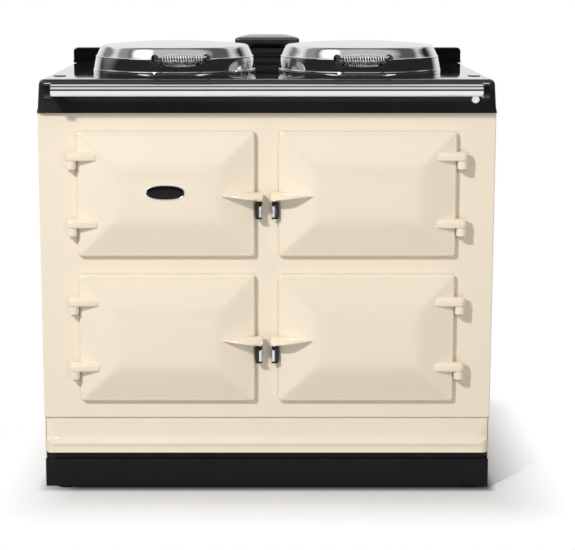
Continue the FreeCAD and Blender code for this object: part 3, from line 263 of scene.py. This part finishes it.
def cast(name, colour, rough, grain, depth, stain=0.35):
    """Sand-cast dull surface, darker where it has worn or stained."""
    n = Nodes(name)
    cloud = n.noise(16.0, 6.0, 0.65)
    fine = n.noise(grain, 3.0, 0.7)
    stained = n.ramp(cloud, shade(colour, 1 - stain), shade(colour, 1.12))
    n.set(Base_Color=n.mix(n.range(fine, 0.0, 0.45), stained, shade(colour, 0.6)))
    n.set(Roughness=n.range(cloud, rough * 0.85, min(1.0, rough * 1.2)))
    n.bump((fine, depth), (cloud, depth * 1.5))
    return n.material


def spangled(name, colour):
    """Galvanised sheet with its large zinc crystals."""
    n = Nodes(name)
    cells = n.add("TexVoronoi", Scale=95.0, Vector=n.place)
    cells.feature = "F1"
    flake = n.add("SeparateColor", Color=cells.outputs["Color"])
    n.set(Base_Color=n.ramp(flake.outputs[0], shade(colour, 0.82), shade(colour, 1.08), 0.0, 1.0))
    n.set(Metallic=1.0, Roughness=n.range(flake.outputs[1], 0.3, 0.5, 0.0, 1.0))
    n.bump((n.noise(30.0, 3.0), 0.0001))
    return n.material


def moulded(name, colour, rough, depth=0.00008, sheen=0.5):
    """Moulded plastic or dull paint with a fine leathery grain."""
    n = Nodes(name)
    cells = n.add("TexVoronoi", Scale=1400.0, Vector=n.place)
    n.set(Base_Color=n.ramp(n.noise(22.0, 4.0), shade(colour, 0.85), shade(colour, 1.15)))
    n.set(Roughness=n.range(n.noise(70.0, 4.0), rough * 0.85, rough * 1.2), Specular_IOR_Level=sheen)
    n.bump((cells.outputs["Distance"], depth))
    return n.material


def wool(name, colour):
    """Matted mineral fibre."""
    n = Nodes(name)
    strands = n.noise(160.0, 8.0, 0.75, n.stretched((1.0, 1.0, 3.5)))
    n.set(Base_Color=n.ramp(strands, shade(colour, 0.62), shade(colour, 1.2)), Roughness=0.95)
    n.bump((strands, 0.0012), (n.noise(35.0, 3.0), 0.002))
    return n.material


def panel_glass(name, centre):
    """Black glass with a faint window and a row of printed touch rings under it."""
    rings, pitch, radius, half_line, below = 5, 45 * MM, 8.5 * MM, 0.6 * MM, 28 * MM
    window_half, window_above = (55 * MM, 18 * MM), 22 * MM
    n = Nodes(name)
    x, _, z = n.split(n.place)
    x = n.math("SUBTRACT", x, centre[0])
    z = n.math("SUBTRACT", z, centre[1])
    mark = None
    for i in range(rings):
        r = n.length(n.math("SUBTRACT", x, (i - rings // 2) * pitch), n.math("ADD", z, below))
        ring = n.math("LESS_THAN", n.math("ABSOLUTE", n.math("SUBTRACT", r, radius)), half_line)
        mark = ring if mark is None else n.math("MAXIMUM", mark, ring)
    rise = n.math("ABSOLUTE", n.math("SUBTRACT", z, window_above))
    window = n.math("MULTIPLY", n.math("LESS_THAN", n.math("ABSOLUTE", x), window_half[0]),
                    n.math("LESS_THAN", rise, window_half[1]))
    base = n.mix(n.math("MULTIPLY", window, 0.8), (0.006, 0.006, 0.007, 1), (0.03, 0.036, 0.04, 1))
    n.set(Base_Color=n.mix(n.math("MULTIPLY", mark, 0.85), base, (0.6, 0.6, 0.6, 1)))
    n.set(Roughness=n.range(n.noise(18.0, 5.0), 0.04, 0.11), IOR=1.5)
    n.bump((n.noise(7.0, 1.0), 0.00005))
    return n.material


# Materials

CREAM = srgb(247, 234, 212)
LIDS = [tuple(middle(*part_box("hotplate_" + side))[:2]) for side in SIDES]
PANEL = middle(*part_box("control_panel"))

cream = enamel("cream_enamel", CREAM, rough=0.16, variation=0.006, ripple=0.00002)
black = enamel("black_enamel", (0.0035, 0.0035, 0.0038, 1), rough=0.045, variation=0.2, ripple=0.00001)
plate_black = enamel("plate_enamel", (0.025, 0.025, 0.0253, 1), rough=0.045, variation=0.2, ripple=0.00001)
cap_black = enamel("cap_enamel", (0.02, 0.02, 0.0205, 1), rough=0.16, variation=0.2, ripple=0.00001, ior=1.9,
                   coat=1.0)
plinth_black = moulded("plinth_black", (0.005, 0.005, 0.0054, 1), rough=0.5, depth=0.00003, sheen=0.2)
strip_grey = moulded("strip_grey", (0.02, 0.02, 0.0205, 1), rough=0.5, depth=0.00003, sheen=0.2)
badge_black = moulded("badge_black", (0.006, 0.006, 0.0065, 1), rough=0.12, depth=0.00001, sheen=0.18)
chrome = polished("chrome", (0.84, 0.85, 0.86, 1), rough=0.03)
satin_chrome = polished("satin_chrome", (0.9, 0.91, 0.93, 1), rough=0.36)
dark_chrome = polished("dark_chrome", (0.1, 0.1, 0.105, 1), rough=0.05)
mirror_steel = polished("lid_mirror", (0.62, 0.62, 0.63, 1), rough=0.045, scratch=40.0, ripple=0.00001)
satin_top = turned_grain("lid_satin", (0.8, 0.8, 0.81, 1), rough=0.28, centres=LIDS)
ground_iron = turned_grain("hotplate_iron", (0.11, 0.11, 0.112, 1), rough=0.34, centres=LIDS, depth=0.00004,
                           metallic=0.85, pitch=300.0)
oven_enamel = enamel("oven_enamel", (0.02, 0.021, 0.026, 1), rough=0.2, variation=0.25, ripple=0.00015,
                     speck=0.5)
steel = brushed("steel", (0.56, 0.56, 0.57, 1), rough=0.3, axis_scale=(1.0, 1.0, 14.0))
pan_steel = brushed("pan_steel", (0.6, 0.6, 0.61, 1), rough=0.26, axis_scale=(14.0, 1.0, 1.0))
galvanised = spangled("galvanised", (0.6, 0.61, 0.62, 1))
black_steel = cast("black_steel", (0.006, 0.006, 0.0065, 1), rough=0.6, grain=700.0, depth=0.00006)
rubber = moulded("black_plastic", (0.02, 0.02, 0.021, 1), rough=0.5)
insulation = wool("insulation", (0.55, 0.47, 0.3, 1))
glass = panel_glass("control_glass", (PANEL[0], PANEL[2]))

FINISHES = (
    (cream, ("front_plate", "base_skirt") + each("side_panel", SIDES) + each("door", PLACES)),
    (cap_black, ("vent_cap",)),
    (black, ("corner_plugs", "rear_upstand", "rail_brackets", "lid_hinge_brackets", "badge_plate")
     + each("lid_arm", SIDES)),
    (plate_black, ("top_plate", "vent_cowl")),
    (plinth_black, ("plinth_panel",)),
    (strip_grey, ("vent_strip",)),
    (chrome, ("handrail", "selector_knob", "oven_shelves") + each("lid_coil", SIDES)
     + each("lid_liner", SIDES)),
    (dark_chrome, each("lid_posts", SIDES)),
    (satin_chrome, each("catch_roller", PLACES)),
    (mirror_steel, each("lid_dome", SIDES)),
    (ground_iron, each("hotplate", SIDES)),
    (oven_enamel, each("oven_liner", PLACES[1:])),
    (steel, ("heating_elements", "hinge_pins")),
    (pan_steel, each("door_pan", PLACES)),
    (galvanised, ("back_panel", "control_housing")),
    (black_steel, ("base_frame", "levelling_feet", "door_catch_brackets")),
    (rubber, ("cable_gland", "selector_switch")),
    (insulation, ("body_insulation",) + each("door_insulation", PLACES[1:]) + each("lid_insulation", SIDES)),
    (glass, ("control_panel",)),
)


def paint(obj, material):
    obj.data.materials.clear()
    obj.data.materials.append(material)


for material, members in FINISHES:
    for member in members:
        paint(NODES[member], material)


# Meshes


def soften(obj, degrees):
    """Smooth shading that keeps edges sharper than an angle."""
    for polygon in obj.data.polygons:
        polygon.use_smooth = True
    obj.data.set_sharp_from_angle(angle=math.radians(degrees))


def add_object(name, data):
    obj = bpy.data.objects.new(name, data)
    bpy.context.scene.collection.objects.link(obj)
    return obj


def skin(name, rings, materials, sharp, bands=None):
    """Mesh over rings of points, closed at its end. bands gives the material of each band and of the end,
    for a form that is open at its start. Without it the start is closed too."""
    count = len(rings[0])
    faces = []
    for start in range(0, (len(rings) - 1) * count, count):
        for j in range(count):
            a, b = start + j, start + (j + 1) % count
            faces.append((a, b, b + count, a + count))
    if bands is None:
        faces.append(tuple(range(count))[::-1])
    last = (len(rings) - 1) * count
    faces.append(tuple(range(last, last + count)))
    mesh = bpy.data.meshes.new(name)
    mesh.from_pydata([point for ring in rings for point in ring], [], faces)
    mesh.validate()
    for material in materials:
        mesh.materials.append(material)
    for i, polygon in enumerate(mesh.polygons):
        polygon.material_index = bands[i // count] if bands else 0
    even = bmesh.new()
    even.from_mesh(mesh)
    bmesh.ops.recalc_face_normals(even, faces=even.faces)
    even.to_mesh(mesh)
    even.free()
    mesh.update()
    obj = add_object(name, mesh)
    soften(obj, sharp)
    return obj


def between(a, b, count):
    return [(a[0] + (b[0] - a[0]) * i / (count + 1), a[1] + (b[1] - a[1]) * i / (count + 1))
            for i in range(1, count + 1)]


def outline(width, height, radius, per_side, per_corner):
    """Points round a rounded rectangle about the origin, the same number whatever its size."""
    least = 0.01 * MM
    radius = max(least, min(radius, width / 2 - least, height / 2 - least))
    points = []
    corners = ((1, -1, -90), (1, 1, 0), (-1, 1, 90), (-1, -1, 180))
    for sx, sz, start in corners:
        cx, cz = sx * (width / 2 - radius), sz * (height / 2 - radius)
        arc = []
        for i in range(per_corner + 1):
            angle = math.radians(start + 90 * i / per_corner)
            arc.append((cx + radius * math.cos(angle), cz + radius * math.sin(angle)))
        if points:
            points += between(points[-1], arc[0], per_side)
        points += arc
    return points + between(points[-1], points[0], per_side)


def join(name, objects):
    """One mesh of several that share their materials."""
    bpy.ops.object.select_all(action="DESELECT")
    for obj in objects:
        obj.select_set(True)
    bpy.context.view_layer.objects.active = objects[0]
    bpy.ops.object.join()
    objects[0].name = name
    return objects[0]


# Doors

DOOR_GAP = 2 * MM
FACE_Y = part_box("door_pan_upper_left")[0].y + DOOR_GAP
RIM, RIM_EDGE, RIM_FALL = 14 * MM, 8 * MM, 7 * MM
FACET_RISE, FACET_END, FACET_CREASE = 24 * MM, 82 * MM, 11.0
DOOR_PAST_PAN = (43 * MM, 39 * MM)
# the row gap stands a little above the middle: upper doors end higher, lower ones start higher
ROW_SHIFT = 5.6 * MM
ARM_FROM_TOP, ARM_FROM_FOOT = 51.9 * MM, 80.5 * MM
ARM_LENGTH, ARM_HALF, ARM_SLOPE, ARM_ROOT = 53.6 * MM, 9.3 * MM, 6.6 * MM, 14 * MM
PIN_BOSS_R = 12 * MM
FIN_LENGTH, FIN_LIFT = 88.3 * MM, 1.0 * MM


def door_relief(inset):
    """How far the door's front stands before its rim plane, at a distance from the edge."""
    if inset < RIM_EDGE:
        t = 1 - inset / RIM_EDGE
        return -RIM_FALL * (1 - math.sqrt(max(0.0, 1 - t * t)))
    t = (inset - RIM_EDGE) / (FACET_END - RIM_EDGE)
    rise = 1 - math.log1p(math.exp(FACET_CREASE * (1 - t))) / FACET_CREASE
    start = 1 - math.log1p(math.exp(FACET_CREASE)) / FACET_CREASE
    return FACET_RISE * max(0.0, (rise - start) / (1 - start))


def door_skin(name, centre_x, centre_z, width, height):
    """The door's front and its rounded edge, as nested outlines that give crisp but soft hips."""
    sides, corner, corner_r = 26, 10, 7.0
    first, step, margin, edge_depth = 14.0, 3.2, 2.0, 3 * MM
    y_back = FACE_Y - DOOR_GAP
    y_rim = y_back - RIM
    insets = [0.0, 0.15, 0.6, 1.3, 2.2, 3.4, 4.8, 6.4, 8.0, 9.5, 11.5]
    inset = first
    while inset < height / MM / 2 - margin:
        insets.append(inset)
        inset += step
    rings = []
    edge = outline(width, height, corner_r * MM, sides, corner)
    for y in (y_back, y_back - edge_depth):
        rings.append([(centre_x + x, y, centre_z + z) for x, z in edge])
    for inset in insets:
        # the corner tightens over the rounded edge and then opens slowly
        radius = (corner_r - 0.35 * min(inset, 8.0) + 0.07 * inset) * MM
        i = inset * MM
        ring = outline(width - 2 * i, height - 2 * i, radius, sides, corner)
        y = y_rim - door_relief(i)
        rings.append([(centre_x + x, y, centre_z + z) for x, z in ring])
    return skin(name, rings, [cream], sharp=70)


def handle_fin(name, sign, door_z, inner_x):
    """Pointed fin: a broad top that slopes to a thin nose, a tip hooked down, a tail that sinks in."""
    nose_most, nose_share, nose_points, nose_from, nose_sweep = 3.2, 0.36, 10, 62, 137
    slope_share, slope_fall, under_nose, tail_drop = 0.55, 0.4, 2.6, 4.0
    # share of the span from tip to tail, top, bottom, reach, root
    stations = ((0.0, 5.2, -8.2, 39.4, 12.0), (0.012, 6.5, -9.7, 41.0, 12.0), (0.045, 7.3, -10.6, 43.4, 12.0),
                (0.085, 7.5, -10.2, 46.0, 12.0), (0.13, 7.5, -8.4, 48.6, 12.0), (0.19, 7.5, -7.4, 51.2, 20.0),
                (0.27, 7.4, -6.8, 53.8, 20.0), (0.38, 7.1, -5.8, 54.6, 20.0), (0.5, 6.6, -4.6, 53.4, 20.0),
                (0.64, 5.8, -3.0, 50.8, 20.0), (0.78, 4.9, -1.4, 47.2, 20.0), (0.9, 4.0, -0.1, 43.4, 20.0),
                (0.97, 3.2, 0.8, 41.0, 20.0), (1.0, 2.4, 1.2, 39.8, 20.0))
    z = door_z + FIN_LIFT
    rings = []
    for share, top, low, reach, root in stations:
        x = sign * (inner_x + share * FIN_LENGTH)
        front, back = FACE_Y - reach * MM, FACE_Y - root * MM
        nose = min(nose_most, (top - low) * nose_share) * MM
        nose_z = z + (low * MM + nose + 0.8 * MM * (top - low) / 15)
        section = [(back, z + top * MM), (front + (back - front) * slope_share, z + (top - slope_fall) * MM)]
        for k in range(nose_points):
            a = math.radians(nose_from - nose_sweep * k / (nose_points - 1))
            section.append((front + nose - nose * math.cos(a), nose_z + nose * math.sin(a)))
        section += [(front + nose * under_nose, z + low * MM),
                    (back, z + (low - tail_drop * (1 - share)) * MM)]
        rings.append([(x, across, up) for across, up in section])
    return skin(name, rings, [cream], sharp=50)


def hinge_arm(name, sign, pin, z):
    """Arm from the facet to the pin, round at the pin's end, its top edge cut to a broad slope."""
    px, py = pin
    rear, front = FACE_Y - ARM_ROOT, py - PIN_BOSS_R
    # distance from the pin, and how far the front has tapered there
    taper = ((ARM_LENGTH, 5.0 * MM), (48 * MM, 3.6 * MM), (20 * MM, 0.8 * MM))
    plan = [(px - off, front + drawn) for off, drawn in taper]
    for degrees in range(0, 181, 12):
        a = math.radians(degrees)
        plan.append((px + PIN_BOSS_R * math.sin(a), py - PIN_BOSS_R * math.cos(a)))
    plan += [(px, rear), (px - ARM_LENGTH, rear)]
    slope_foot = ARM_HALF - ARM_SLOPE
    # height, and how far the front edge is drawn in
    levels = ((-ARM_HALF, 1.4), (-ARM_HALF + 0.5 * MM, 0.5), (-ARM_HALF + 1.5 * MM, 0.0),
              (slope_foot - 1.0 * MM, 0.0), (slope_foot, 0.35), (slope_foot + 0.9 * MM, 1.0),
              (ARM_HALF - 1.4 * MM, 5.6), (ARM_HALF - 0.4 * MM, 6.9), (ARM_HALF, 8.2))
    rings = []
    for rise, drawn in levels:
        ring = []
        for x, y in plan:
            share = max(0.0, min(1.0, (rear - y) / (rear - front)))
            ring.append((sign * x, min(rear, y + drawn * MM * share), z + rise))
        rings.append(ring)
    return skin(name, rings, [cream], sharp=42)


def door(name, sign):
    low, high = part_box("door_pan_" + name)
    cx, _, cz = middle(low, high)
    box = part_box("door_" + name)
    width, height = high.x - low.x + DOOR_PAST_PAN[0], high.z - low.z + DOOR_PAST_PAN[1]
    joint = next(j for j in frame["joints"] if j["child"] == "door_" + name)
    pin = abs(joint["pos_m"][0]), joint["pos_m"][1]
    grow = ROW_SHIFT if name.startswith("lower") else -ROW_SHIFT
    parts = [door_skin("skin_" + name, cx, cz + ROW_SHIFT / 2, width, height + grow)]
    for offset in (height / 2 - ARM_FROM_TOP, ARM_FROM_FOOT - height / 2):
        parts.append(hinge_arm("arm_" + name, sign, pin, cz + offset))
    inner_x = box[0].x if sign > 0 else -box[1].x
    parts.append(handle_fin("fin_" + name, sign, cz, inner_x))
    piece = join("door_casting_" + name, parts)
    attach(piece, "door_" + name)
    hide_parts("door_" + name)


for name in PLACES:
    door(name, -1 if name.endswith("left") else 1)


# Badge: a plain oval plate with a bright rim


def badge():
    low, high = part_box("badge_plate")
    cx, _, cz = middle(low, high)
    half_width, half_height = (high.x - low.x) / 2, (high.z - low.z) / 2
    depth = high.y - low.y
    steps, fullness = 96, 0.86
    rim, face = 0, 1
    # inset from the oval's edge, share of the plate's thickness, and the material
    courses = ((0.0, 0.0, rim), (0.0, 0.55, rim), (0.3, 0.85, rim), (0.9, 1.0, rim), (1.4, 0.95, rim),
               (1.8, 0.74, rim), (2.0, 0.66, face), (2.4, 0.68, face), (4.5, 0.76, face), (7.5, 0.84, face),
               (10.5, 0.9, face), (13.0, 0.93, face))
    rings = []
    for inset, rise, _ in courses:
        ring = []
        for j in range(steps):
            c, s = math.cos(2 * math.pi * j / steps), math.sin(2 * math.pi * j / steps)
            ring.append((cx + (half_width - inset * MM) * math.copysign(abs(c) ** fullness, c),
                         high.y - depth * rise,
                         cz + (half_height - inset * MM) * math.copysign(abs(s) ** fullness, s)))
        rings.append(ring)
    bands = [material for _, _, material in courses[1:]] + [face]
    piece = skin("badge_oval", rings, [chrome, badge_black], sharp=40, bands=bands)
    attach(piece, "door_upper_left")
    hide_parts("badge_plate")


badge()


# Lids


def lid(side, centre):
    low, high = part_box("lid_dome_" + side)
    edge = (high.x - low.x) / 2
    steps, crown_rings, crown_part = 192, 12, 12.2
    # inset from the rim's edge and height, up to the crown's edge
    wall = ((2, 7), (0.6, 7), (0, 7.8), (0, 10.2), (0.5, 11.4), (1.3, 12.4), (3.3, 24.0), (5.8, 36.4),
            (6.0, 37.2), (5.5, 38.3), (6.0, 39.4), (7.4, 40.2), (8.3, 41.6), (12.5, 50.5), (16.6, 58.0),
            (18.2, 60.9), (20.0, 62.6), (22.4, 63.6))
    crown_inset, crown_foot = wall[-1]
    z = low.z - wall[0][1] * MM
    profile = [(edge - inset * MM, z + up * MM) for inset, up in wall]
    crown = high.z - z - crown_foot * MM
    for i in range(1, crown_rings + 1):
        share = 1 - i / crown_part
        profile.append(((edge - crown_inset * MM) * share, z + crown_foot * MM + crown * (1 - share * share)))
    rings = []
    for r, up in profile:
        turn = [2 * math.pi * j / steps for j in range(steps)]
        rings.append([(centre[0] + r * math.cos(a), centre[1] + r * math.sin(a), up) for a in turn])
    # the last band of the wall has the crown's satin finish too
    bands = [1 if i >= len(wall) - 2 else 0 for i in range(len(profile))]
    piece = skin("lid_shell_" + side, rings, [mirror_steel, satin_top], sharp=25, bands=bands)
    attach(piece, "lid_" + side)
    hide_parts("lid_dome_" + side)


def coil(side, centre):
    """Wound wire grip, barrel-shaped, of one unbroken wire, square to the lid's radius through it."""
    low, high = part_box("lid_coil_" + side)
    cx, cy, cz = middle(low, high)
    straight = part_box("lid_coil_right")
    half = (straight[1].x - straight[0].x) / 2
    angle = math.atan2(cx - centre[0], centre[1] - cy)
    wire, inner, tail = 2.5 * MM, 5.5 * MM, 7.9 * MM
    turns, per_turn = 16, 20
    swell = (high.z - low.z) / 2 - wire / 2 - inner
    # the wire's two ends: distance from the grip's end, and place as shares of the inner radius
    lead = ((0 * MM, 0.64, 0.77), (2 * MM, 0.64, 0.77), (4 * MM, 0.75, 0.66))
    places = [(off - half, inner * v, -inner * w) for off, v, w in lead]
    for i in range(turns * per_turn + 1):
        t = i / per_turn
        radius = inner + swell * math.sin(math.pi * t / turns)
        a = 2 * math.pi * t
        places.append(((half - tail) * (2 * t / turns - 1), radius * math.cos(a), radius * math.sin(a)))
    places += [(half - off, inner * v, inner * w) for off, v, w in reversed(lead)]
    curve = bpy.data.curves.new("coil", "CURVE")
    curve.dimensions = "3D"
    curve.bevel_depth = wire / 2
    curve.bevel_resolution = 4
    spline = curve.splines.new("NURBS")
    spline.points.add(len(places) - 1)
    ca, sa = math.cos(angle), math.sin(angle)
    for point, (u, v, w) in zip(spline.points, places):
        point.co = (cx + u * ca - v * sa, cy + u * sa + v * ca, cz + w, 1.0)
    spline.order_u = 4
    spline.use_endpoint_u = True
    spline.resolution_u = 2
    wound = add_object("coil", curve)
    depsgraph = bpy.context.evaluated_depsgraph_get()
    mesh = bpy.data.meshes.new_from_object(wound.evaluated_get(depsgraph))
    bpy.data.objects.remove(wound)
    piece = add_object("coil_grip_" + side, mesh)
    paint(piece, satin_chrome)
    soften(piece, degrees=60)
    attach(piece, "lid_" + side)
    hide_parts("lid_coil_" + side)


for side, centre in zip(SIDES, LIDS):
    lid(side, centre)
    coil(side, centre)


# Base skirt: hollow, bead and lip, with the front's ends cut back to the sides

SKIRT_BACK = 14 * MM


def skirt():
    low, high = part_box("base_skirt")
    half = (high.x - low.x) / 2
    plane = high.y - SKIRT_BACK
    # drop from the top edge and reach before the front plate
    profile = ((0.0, -7.0), (0.6, -6.4), (1.4, -6.1), (6.0, -5.7), (12.0, -4.9), (18.0, -3.9),
               (24.0, -2.7), (30.0, -1.4), (36.0, 0.1), (41.0, 1.5), (45.0, 2.8), (48.0, 4.0), (49.4, 5.0),
               (50.6, 6.6), (52.0, 8.6), (53.6, 10.4), (55.6, 11.7), (57.8, 12.3), (59.8, 12.2),
               (61.4, 11.5), (62.8, 10.8), (64.2, 10.5), (68.0, 10.5), (74.6, 10.8), (75.6, 11.3),
               (76.4, 12.0), (77.4, 12.2), (78.4, 11.5), (79.0, 10.0))
    drop_scale = (high.z - low.z) / profile[-1][0]
    bead_from, bead_blend, roundness = 46, 5, 3
    end_length, end_step, between_step = 62, 1.6, 0.12
    slant_rate, slant_start = 0.38, -6.2
    short_reach, short_run, short_start = 14.5, 6, -2
    ends = [0.0, 0.3]
    while ends[-1] < end_length:
        ends.append(ends[-1] + end_step)
    places = [e * MM - half for e in ends]
    places += [between_step * i for i in range(-3, 4)]
    places += [half - e * MM for e in reversed(ends)]
    rings = []
    for x in places:
        inward = (half - abs(x)) / MM
        # the hollow is cut back in a long slant, the bead and lip in a short round
        slant = slant_start + slant_rate * inward
        short = short_start + short_reach * (1 - math.exp(-inward / short_run))
        ring = [(x, high.y, high.z)]
        for drop, reach in profile:
            share = max(0.0, min(1.0, (drop - bead_from) / bead_blend))
            limit = slant + (short - slant) * share
            # the smaller of the two, with a slight round between them
            reach = -math.log(math.exp(-roundness * reach) + math.exp(-roundness * limit)) / roundness
            ring.append((x, plane - reach * MM, high.z - drop * drop_scale))
        rings.append(ring + [(x, high.y, low.z)])
    piece = skin("skirt_moulding", rings, [cream], sharp=28)
    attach(piece, "body")
    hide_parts("base_skirt")


skirt()


# Vent cap: a soft cushion-shaped casting


def vent_cap():
    low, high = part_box("vent_cap")
    cx, cy, _ = middle(low, high)
    width, depth = high.x - low.x, high.y - low.y
    sides, corner, corner_r = 10, 8, 10
    # inset from the plan outline and height
    courses = ((2.0, 0.0), (0.6, 0.5), (0.0, 2.0), (0.0, 9.4), (0.4, 11.6), (1.5, 13.4), (3.2, 14.9),
               (5.4, 16.0), (8.5, 17.1), (13.0, 18.4), (19.0, 19.9), (26.0, 21.4), (33.0, 22.6), (38.0, 23.0))
    rise_scale = (high.z - low.z) / courses[-1][1]
    rings = []
    for inset, rise in courses:
        i = inset * MM
        ring = outline(width - 2 * i, depth - 2 * i, (corner_r + 0.35 * inset) * MM, sides, corner)
        rings.append([(cx + x, cy + y, low.z + rise * rise_scale) for x, y in ring])
    piece = skin("cowl_cap", rings, [cap_black], sharp=45)
    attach(piece, "body")
    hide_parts("vent_cap")


vent_cap()


# Stage


def ray_kinds(g):
    """Light Path's camera rays, and its glossy or transmitted rays."""
    path = g.add("LightPath")
    mirrored = g.math("MAXIMUM", path.outputs["Is Glossy Ray"], path.outputs["Is Transmission Ray"])
    return path.outputs["Is Camera Ray"], mirrored


def floor_finish():
    """Pale near the object, where it shows the shadow, with a painted dark strip of shade close under the
    plinth, and the backdrop's white farther off.
    """
    glow, white_by = 0.07, 160 * MM
    lit_side, plinth_inset = 70 * MM, 4 * MM
    # where the painted contact shadow under the plinth starts and ends
    painted_shade_from, painted_shade_to = 4 * MM, 26 * MM
    n = Nodes("floor")
    n.set(Base_Color=n.ramp(n.noise(3.0, 3.0), (0.9, 0.9, 0.9, 1), (0.93, 0.93, 0.93, 1)), Roughness=0.9)
    place = n.split(n.place)

    def away(low, high):
        """Distance from a rectangle on the floor."""
        gaps = []
        for axis in (0, 1):
            off = n.math("ABSOLUTE", n.math("SUBTRACT", place[axis], (low[axis] + high[axis]) / 2))
            gaps.append(n.math("MAXIMUM", n.math("SUBTRACT", off, (high[axis] - low[axis]) / 2), 0.0))
        return n.length(*gaps)

    def flat(kind, **inputs):
        return n.add(kind, **inputs).outputs[0]

    add = n.add("AddShader")
    n.link(n.shader.outputs[0], add.inputs[0])
    n.link(flat("Emission", Strength=glow), add.inputs[1])
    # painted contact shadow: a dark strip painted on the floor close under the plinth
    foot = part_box("plinth_panel")
    near = away((foot[0].x + plinth_inset, foot[0].y), (foot[1].x - plinth_inset, CAD_BOX[1].y))
    painted_shade_strip = n.range(near, 0.0, 1.0, painted_shade_from, painted_shade_to)
    floor_with_painted_shade = n.blend(painted_shade_strip, flat("BsdfDiffuse", Color=(0.22, 0.22, 0.22, 1)), add.outputs[0])
    # white starts sooner on the left, where the photograph's floor has no shadow
    far = away((CAD_BOX[0].x + lit_side, CAD_BOX[0].y), CAD_BOX[1])
    shown = n.blend(n.range(far, 0.0, 1.0, 0.0, white_by), floor_with_painted_shade, flat("Emission", Strength=1.0))
    camera_ray, mirrored = ray_kinds(n)
    seen = n.math("MAXIMUM", camera_ray, mirrored)
    bounce = flat("BsdfDiffuse", Color=(0.42, 0.415, 0.41, 1))
    n.link(n.blend(seen, bounce, shown), n.output.inputs[0])
    return n.material


def floor():
    half = 12.0
    corners = [(-half, -half, 0), (half, -half, 0), (half, half, 0), (-half, half, 0)]
    mesh = bpy.data.meshes.new("floor")
    mesh.from_pydata(corners, [], [(0, 1, 2, 3)])
    mesh.materials.append(floor_finish())
    piece = add_object("floor", mesh)


floor()


def world():
    """White backdrop, even fill, and long bright and dark bands for glossy reflections."""
    fill_level, dark_level, patch_level, left_level = 0.4, 0.03, 1.2, 0.3
    studio = bpy.data.worlds.new("studio")
    bpy.context.scene.world = studio
    studio.use_nodes = True
    g = Graph(studio.node_tree)
    way = g.add("TexCoord").outputs["Generated"]
    _, y, z = g.split(way)

    def step(value, start, end):
        node = g.add("MapRange", From_Min=start, From_Max=end)
        node.interpolation_type = "SMOOTHSTEP"
        g.link(value, node.inputs["Value"])
        return node.outputs[0]

    def facing(azimuth, elevation):
        """Cosine between a ray and a way given in degrees, azimuth to the right of the front."""
        a, e = math.radians(azimuth), math.radians(elevation)
        dot = g.add("VectorMath")
        dot.operation = "DOT_PRODUCT"
        g.link(way, dot.inputs[0])
        dot.inputs[1].default_value = (math.sin(a) * math.cos(e), -math.cos(a) * math.cos(e), math.sin(e))
        return dot.outputs["Value"]

    def background(colour, strength):
        return g.add("Background", Color=colour, Strength=strength).outputs[0]

    # turn of the ray over the object, 0 at the front horizon and 1 at the back, and its brightness
    turn = g.math("DIVIDE", g.math("ARCTAN2", z, g.math("MULTIPLY", y, -1.0)), math.pi)
    stops = ((0.0, 0.75), (0.35, 0.75), (0.42, 0.12), (0.58, 0.12), (0.66, 0.9), (1.0, 1.0))
    ramp = g.add("ValToRGB")
    g.link(turn, ramp.inputs[0])
    elements = ramp.color_ramp.elements
    while len(elements) < len(stops):
        elements.new(0.5)
    for element, (position, value) in zip(elements, stops):
        element.position = position
        element.color = (value, value, value, 1.0)
    high = g.math("MULTIPLY", ramp.outputs[0], step(z, 0.40, 0.52))
    behind = step(y, 0.55, 0.85)
    patch = g.math("MULTIPLY", step(facing(-58, 42), 0.955, 0.985), patch_level)
    left = g.math("MULTIPLY", step(facing(-115, 34), 0.84, 0.95), left_level)
    bands = dark_level
    for part in (high, patch, left):
        bands = g.math("ADD", part, bands)
    bands = g.math("MAXIMUM", bands, behind)

    fill = background((1.0, 0.99, 0.975, 1.0), fill_level)
    gloss = background(bands, 1.0)
    white = background((1.0, 1.0, 1.0, 1.0), 1.0)
    camera_ray, mirrored = ray_kinds(g)
    out = g.add("OutputWorld")
    g.link(g.blend(camera_ray, g.blend(mirrored, fill, gloss), white), out.inputs[0])


world()


def lamp(name, way, distance, size, power, mirrored=True):
    """Round lamp that looks at the front's middle from a given way. Its own reflection may be left out."""
    target = Vector((0, -0.3, 0.5))
    place = target + way.normalized() * distance
    light = bpy.data.lights.new(name, "AREA")
    light.shape = "DISK"
    light.size = size
    light.energy = power
    obj = add_object(name, light)
    obj.location = place
    obj.rotation_euler = (target - place).to_track_quat("-Z", "Y").to_euler()
    obj.visible_glossy = mirrored


lamp("key", Vector((-0.45, -0.74, 0.56)), distance=6.0, size=0.4, power=208.0)
lamp("soft", Vector((0.3, -0.9, 0.12)), distance=3.5, size=1.6, power=14.0, mirrored=False)


def camera():
    """Camera of the photograph, with its focal length and shift in the photograph's pixels."""
    image_width, sensor = 575, 36.0
    focal_px, shift_px = 1636.8, (19.11, -28.75)
    distance, pitch, aside, height = 3.5, 0.1674, 0.0032, 1.1403
    data = bpy.data.cameras.new("camera")
    data.sensor_fit = "HORIZONTAL"
    data.sensor_width = sensor
    data.lens = focal_px / image_width * sensor
    data.shift_x, data.shift_y = (px / image_width for px in shift_px)
    data.clip_end = 60.0
    eye = add_object("camera", data)
    eye.location = (aside, FACE_Y - distance, height)
    eye.rotation_euler = (math.pi / 2 - pitch, 0.0, 0.0)
    bpy.context.scene.camera = eye


camera()

bpy.context.scene.view_settings.view_transform = "Standard"
